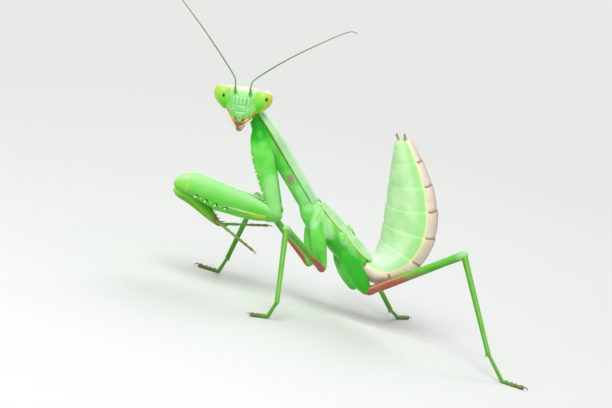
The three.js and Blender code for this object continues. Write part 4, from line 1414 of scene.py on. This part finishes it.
# %% Sizes of the walking legs
# share of the length, half-width, height above, height below
WALKING_SHAPES = {
    "mid": {
        "root": [(-0.58, 0.34, 0.45, 0.45), (-0.38, 0.55, 0.75, 0.75), (-0.16, 0.68, 0.90, 0.90)],
        "coxa": [(0, 0.75, 0.95, 0.95), (0.25, 0.74, 0.90, 0.90), (0.5, 0.68, 0.80, 0.80),
                 (0.8, 0.58, 0.66, 0.66), (0.93, 0.48, 0.54, 0.54)],
        "femur": [(0.02, 0.44, 0.50, 0.50), (0.07, 0.44, 0.48, 0.50), (0.10, 0.38, 0.42, 0.43),
                  (0.14, 0.41, 0.46, 0.46), (0.6, 0.37, 0.41, 0.41), (0.9, 0.34, 0.37, 0.37),
                  (0.97, 0.44, 0.48, 0.48), (1, 0.43, 0.47, 0.47)],
        "tibia": [(0.01, 0.32, 0.36, 0.36), (0.05, 0.37, 0.42, 0.42), (0.12, 0.33, 0.37, 0.37),
                  (0.5, 0.31, 0.35, 0.35), (0.92, 0.27, 0.30, 0.30), (1, 0.30, 0.32, 0.32)],
    },
    "hind": {
        "root": [(-0.66, 0.36, 0.50, 0.60), (-0.42, 0.60, 0.80, 1.00), (-0.18, 0.76, 1.00, 1.28)],
        "coxa": [(0, 0.85, 1.10, 1.40), (0.25, 0.83, 1.05, 1.36), (0.5, 0.80, 0.95, 1.25),
                 (0.8, 0.64, 0.76, 0.92), (0.93, 0.50, 0.60, 0.68)],
        "femur": [(0.02, 0.49, 0.57, 0.57), (0.06, 0.49, 0.56, 0.57), (0.09, 0.43, 0.49, 0.50),
                  (0.13, 0.48, 0.58, 0.58), (0.3, 0.46, 0.56, 0.56), (0.6, 0.41, 0.50, 0.50),
                  (0.88, 0.38, 0.47, 0.46), (0.96, 0.46, 0.56, 0.54), (1, 0.44, 0.52, 0.50)],
        "tibia": [(0.01, 0.32, 0.36, 0.36), (0.04, 0.38, 0.43, 0.43), (0.10, 0.33, 0.38, 0.38),
                  (0.5, 0.31, 0.35, 0.35), (0.94, 0.26, 0.29, 0.29), (1, 0.29, 0.31, 0.31)],
    },
}
INSTEP_STATIONS = [(0.0, 0.19, 0.20, 0.20), (0.1, 0.20, 0.21, 0.21), (0.6, 0.21, 0.22, 0.22),
                   (0.93, 0.24, 0.25, 0.25), (1.0, 0.22, 0.24, 0.24)]
TOE_ENDS = (0.30, 0.50, 0.68, 1.0)       # share of the toes where each joint ends
TOE_PROFILE = ((0.04, 0.72), (0.3, 0.80), (0.75, 1.0), (0.93, 0.98), (0.99, 0.76))
TOE_HALF_WIDTH, TOE_HALF_HEIGHT = 0.276, 0.26    # mm
SOLE = 0.02                      # mm under the last joint of the instep
SPUR = (0.5, 0.09)                       # length and radius in mm
print("joints on the floor:", len(TOE_ENDS))

# %% Walking legs
def pitch_to(height, start, length):
    """The pitch at which a length from the start ends at a height."""
    return degrees(asin((height - start.z) / length))


def make_toes(name, length):
    """Four short joints on the floor. Their undersides stay at zero."""
    rings, begin = [], 0.0
    for end in TOE_ENDS:
        for share, size in TOE_PROFILE:
            t = begin + (end - begin) * share
            high = TOE_HALF_HEIGHT * size
            rings.append((Matrix.Translation((t * length, 0, high)), TOE_HALF_WIDTH * size, high,
                          high, t))
        begin = end
    rings.insert(0, (Matrix.Translation((-0.2, 0, 0.2)), 0.12, 0.12, 0.18, 0.0))
    rings.append((Matrix.Translation((length * 1.03, 0, 0.18)), 0.10, 0.1, 0.15, 1.0))
    return loft(name, rings, 12)


def make_spurs(name, length, tibia_frame):
    frames = [Matrix.Translation((length, side * 0.16, -0.15))
              @ Matrix.Rotation(radians(118), 4, "Y") for side in (-1, 1)]
    hand_over(joined(f"{name}_spurs", copied(make_spine(*SPUR), frames)), tibia_frame,
              claw_finish, levels=1)


def make_walking_leg(name, pose):
    size = pose["size"]
    kind = name.split("_")[0]
    shape = WALKING_SHAPES[kind]
    hip = Vector(pose["start"])
    knee1 = along(hip, size["coxa"], *pose["coxa"])
    knee2 = along(knee1, size["femur"], *pose["femur"])
    tibia_aim = (pose["tibia"], pitch_to(pose.get("ankle", size["ankle"]), knee2, size["tibia"]))
    ankle = along(knee2, size["tibia"], *tibia_aim)
    tarsus_aim = (pose["tarsus"], pitch_to(TOE_HALF_HEIGHT + SOLE, ankle, size["tarsus"]))
    ball = along(ankle, size["tarsus"], *tarsus_aim)

    add_to_body(hip_tube(f"{name}_hip", size["coxa"], shape["coxa"], pose["side"], shape["root"],
                         0.35), aim(hip, *pose["coxa"]))
    hand_over(straight(f"{name}_thigh", size["femur"], shape["femur"], around=14),
              aim(knee1, *pose["femur"]), thigh_finishes[kind], [f"{name}_femur"])
    tibia_frame = aim(knee2, *tibia_aim)
    hand_over(straight(f"{name}_shin", size["tibia"], shape["tibia"], around=12),
              tibia_frame, shin_finish, [f"{name}_tibia"])
    make_spurs(name, size["tibia"], tibia_frame)

    hand_over(straight(f"{name}_instep", size["tarsus"], INSTEP_STATIONS, around=10),
              aim(ankle, *tarsus_aim), shin_finish, [f"{name}_tarsus"])
    toe_frame = aim((ball.x, ball.y, 0), pose["toes"], 0)
    hand_over(make_toes(f"{name}_foot", size["toes"]), toe_frame, toe_finish,
              [f"{name}_toes"])
    hand_over(joined(f"{name}_claws", make_claws(0.55, size["toes"], 0.33)), toe_frame,
              claw_finish, levels=1)


for name, pose in WALKING_POSES.items():
    make_walking_leg(name, pose)
print("pieces in all but the body skin:", len(made_pieces))

# %% [markdown]
# ## Fusing the body skin
# All tubes of the body are now joined and remeshed into one closed surface. The remesh forgets
# where a point lay on its tube, so three masks are painted on the new surface instead: pale
# ridges and flanks, painted shade in deep green on the undersides and the hind hips, and one
# mauve patch. They could be noise or boxes in the finish, but strokes follow the ridges. A mask
# is strongest on a stroke, which is a chain of points on the body, and fades out at the stroke's
# radius.

# %% Fuse
SKIN_VOXEL = 0.085               # mm
FOLD_REACH, FOLD_FADE = 2.6, 1.2         # mm around a hip's start, and the outer part that fades
SOFTEN_PASSES, BLEND_PASSES = 5, 40      # all over, and only in the folds at the hips
SMOOTHING = 0.5

body = joined("body_skin", body_tubes)
fuse = body.modifiers.new("fuse", "REMESH")
fuse.mode = "VOXEL"
fuse.voxel_size = SKIN_VOXEL
bpy.ops.object.modifier_apply(modifier=fuse.name)

hip_points = [Vector(pose["start"]) for pose in (*FORELEG_POSES.values(), *WALKING_POSES.values())]
folds = body.vertex_groups.new(name="folds")
for point in body.data.vertices:
    nearest = min((point.co - hip).length for hip in hip_points)
    if nearest < FOLD_REACH:
        folds.add([point.index], min((FOLD_REACH - nearest) / FOLD_FADE, 1), "REPLACE")
for name, passes, group in (("soften", SOFTEN_PASSES, ""), ("blend", BLEND_PASSES, folds.name)):
    soften = body.modifiers.new(name, "SMOOTH")
    soften.factor = SMOOTHING
    soften.iterations = passes
    soften.vertex_group = group
    bpy.ops.object.modifier_apply(modifier=soften.name)
print("body skin faces:", len(body.data.polygons))

# %% Strokes of paint
# the second mask is painted shade: deep green where the body lies in shade
PALE, DEEP_SHADE, MAUVE = 0, 1, 2
FLANK = 0.95                     # mm outward, a stroke on the prothorax's side
HIP_OUT = 0.8                    # mm outward, a stroke on a hip


def thorax_chain(side, *steps):
    return [thorax_frame @ on_thorax(x, side, climb) for x, climb in steps]


def prothorax_chain(side, *steps):
    """Steps are (share of the length, height in mm)."""
    return [prothorax_frame @ Vector((share * PROTHORAX_LENGTH, side * FLANK, high))
            for share, high in steps]


def hip_chain(pose, length, *shares):
    return [along(pose["start"], length * share, *pose["coxa"])
            + Vector((0, pose["side"] * HIP_OUT, 0)) for share in shares]


strokes = []                     # (mask, chain of points, radius in mm, strength)
for side in (-1, 1):
    strokes += [
        (PALE, thorax_chain(side, (0.3, 0.45), (1.2, 0.0), (2.0, -0.45)), 0.75, 0.75),
        (PALE, thorax_chain(side, (1.0, 0.42), (2.4, 0.1), (4.2, -0.3)), 0.8, 0.75),
        (PALE, thorax_chain(side, (4.9, 0.32), (5.8, 0.05)), 0.7, 0.5),
        (PALE, thorax_chain(side, (6.6, 0.12), (9.4, -0.3)), 0.5, 0.35),
        (PALE, prothorax_chain(side, (0.82, -0.2), (1.0, -0.4)), 1.0, 0.45),
        # painted shade: deep green under the front of the prothorax and low on the hind thorax
        (DEEP_SHADE, prothorax_chain(side, (-0.05, -0.5), (0.12, -1.0)), 1.8, 1.0),
        (DEEP_SHADE, thorax_chain(side, (5.2, -0.4), (8.8, -0.5)), 1.5, 0.75),
        (MAUVE, prothorax_chain(side, (0.66, -0.48), (0.705, -0.68)), 0.60, 0.8),
    ]
for pose in FORELEG_POSES.values():
    strokes.append((PALE, hip_chain(pose, FORELEG["coxa"], 0.55, 1.0), 1.3, 0.45))
# painted shade: deep green strokes on the hind hips
for name in ("hind_left", "hind_right"):
    strokes.append((DEEP_SHADE, hip_chain(WALKING_POSES[name], HIND_LEG["coxa"], -0.2, 1.0), 1.8, 0.85))
print("strokes:", len(strokes))

# %% Paint the masks
FULLNESS = 1.6                   # above 1, so that a stroke is at full strength near its chain


def painted(point):
    masks = [0.0, 0.0, 0.0]
    for mask, chain, radius, strength in strokes:
        for a, b in zip(chain, chain[1:]):
            along_it = min(max((point - a).dot(b - a) / (b - a).length_squared, 0), 1)
            near = 1 - (point - a.lerp(b, along_it)).length / radius
            if near > 0:
                near = min(near * FULLNESS, 1)
                masks[mask] = max(masks[mask], strength * near * near * (3 - 2 * near))
    return masks


tone = body.data.attributes.new("tone", "FLOAT_VECTOR", "POINT")
for point in body.data.vertices:
    tone.data[point.index].vector = painted(point.co)
print("painted points:", len(body.data.vertices))

# %% Body finish
def body_colour(tree, mottle):
    masks = kept_on_mesh(tree, "tone")
    # the deep green is painted shade, laid where its mask is strong
    shade_green, pale = colour(0.008, 0.40, 0.004), colour(0.46, 0.86, 0.38)
    mauve = colour(0.46, 0.19, 0.22)
    skin = paint(tree, mottle, colour(0.10, 0.63, 0.045), colour(0.19, 0.75, 0.11))
    skin = paint(tree, masks[DEEP_SHADE], skin, shade_green)
    skin = paint(tree, masks[PALE], skin, pale)
    return paint(tree, masks[MAUVE], skin, mauve)


body_finish = make_finish("body skin", body_colour, 0.36, 9000.0, 0.000028)
hand_over(body, Matrix(), body_finish,
          ["neck", "prothorax", "mesothorax", "metathorax", "fore_left_coxa", "fore_right_coxa"]
          + [f"{name}_coxa" for name in WALKING_POSES], levels=0)
print("pieces in all:", len(made_pieces))

# %% [markdown]
# ## Floor and light
# The floor is a wide plain sheet. Near the animal it takes shadows, and further out it fades into
# the plain background, so that no horizon shows. A curved backdrop would do the same only from the
# front. One large soft lamp stands high at the front left, a weaker one behind, and the sky fills
# the shadows at a plain level.

# %% Floor
BACKDROP = colour(0.80, 0.82, 0.80)
FLOOR_GREY = colour(0.74, 0.76, 0.74)
FLOOR_ROUGHNESS = 0.9
FADE_START, FADE_END = 0.05, 0.22        # m from the middle, where the floor turns to background


def seen_ray(tree):
    """1 for a ray that shows the background: straight from the camera, by gloss or by glass."""
    kinds = add_node(tree, "ShaderNodeLightPath").outputs
    mirrored = calculate(tree, "MAXIMUM", kinds["Is Glossy Ray"], kinds["Is Transmission Ray"])
    return calculate(tree, "MAXIMUM", kinds["Is Camera Ray"], mirrored)


def make_floor_finish():
    made = bpy.data.materials.new("floor")
    made.use_nodes = True
    tree = made.node_tree
    shader = tree.nodes["Principled BSDF"]
    shader.inputs["Base Color"].default_value = FLOOR_GREY
    shader.inputs["Roughness"].default_value = FLOOR_ROUGHNESS
    where = add_node(tree, "ShaderNodeTexCoord").outputs["Object"]
    reach = add_node(tree, "ShaderNodeVectorMath", {0: where}, operation="LENGTH").outputs["Value"]
    glow = add_node(tree, "ShaderNodeEmission", {"Color": BACKDROP, "Strength": 1.0})
    far = times(tree, rise(tree, reach, FADE_START, FADE_END), seen_ray(tree))
    blend = add_node(tree, "ShaderNodeMixShader", {0: far, 1: shader.outputs[0],
                                                   2: glow.outputs[0]})
    tree.links.new(blend.outputs[0], tree.nodes["Material Output"].inputs["Surface"])
    return made


deselect()
bpy.ops.mesh.primitive_plane_add(size=6, location=(0, 0, 0))
floor = bpy.context.object
floor.name = "floor"
floor.data.materials.append(make_floor_finish())
print("floor side in m:", floor.dimensions.x)

# %% Light
SKY_STRENGTH = 0.5


def soft_lamp(name, heading, height, distance, size, watts):
    lamp_data = bpy.data.lights.new(name, "AREA")
    lamp_data.size = size
    lamp_data.energy = watts
    lamp = bpy.data.objects.new(name, lamp_data)
    bpy.context.scene.collection.objects.link(lamp)
    away = direction(heading, height)
    lamp.location = away * distance
    lamp.rotation_mode = "QUATERNION"
    lamp.rotation_quaternion = away.to_track_quat("Z", "Y")


soft_lamp("key", heading=-125, height=52, distance=0.30, size=0.16, watts=0.62)
soft_lamp("rim", heading=60, height=40, distance=0.30, size=0.12, watts=0.26)

world = bpy.data.worlds.new("room")
bpy.context.scene.world = world
world.use_nodes = True
room = world.node_tree
sky = room.nodes["Background"]
sky.inputs["Color"].default_value = colour(1.0, 1.0, 1.0)
sky.inputs["Strength"].default_value = SKY_STRENGTH
plain = add_node(room, "ShaderNodeBackground", {"Color": BACKDROP, "Strength": 1.0})
chosen = add_node(room, "ShaderNodeMixShader", {0: seen_ray(room), 1: sky.outputs[0],
                                                2: plain.outputs[0]})
room.links.new(chosen.outputs[0], room.nodes["World Output"].inputs["Surface"])
print("lamps:", len(bpy.data.lights))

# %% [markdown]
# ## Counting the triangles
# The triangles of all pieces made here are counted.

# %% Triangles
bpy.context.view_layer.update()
triangles = sum(len(face.vertices) - 2 for piece in made_pieces for face in piece.data.polygons)
print("triangles:", triangles, "pieces:", len(made_pieces))
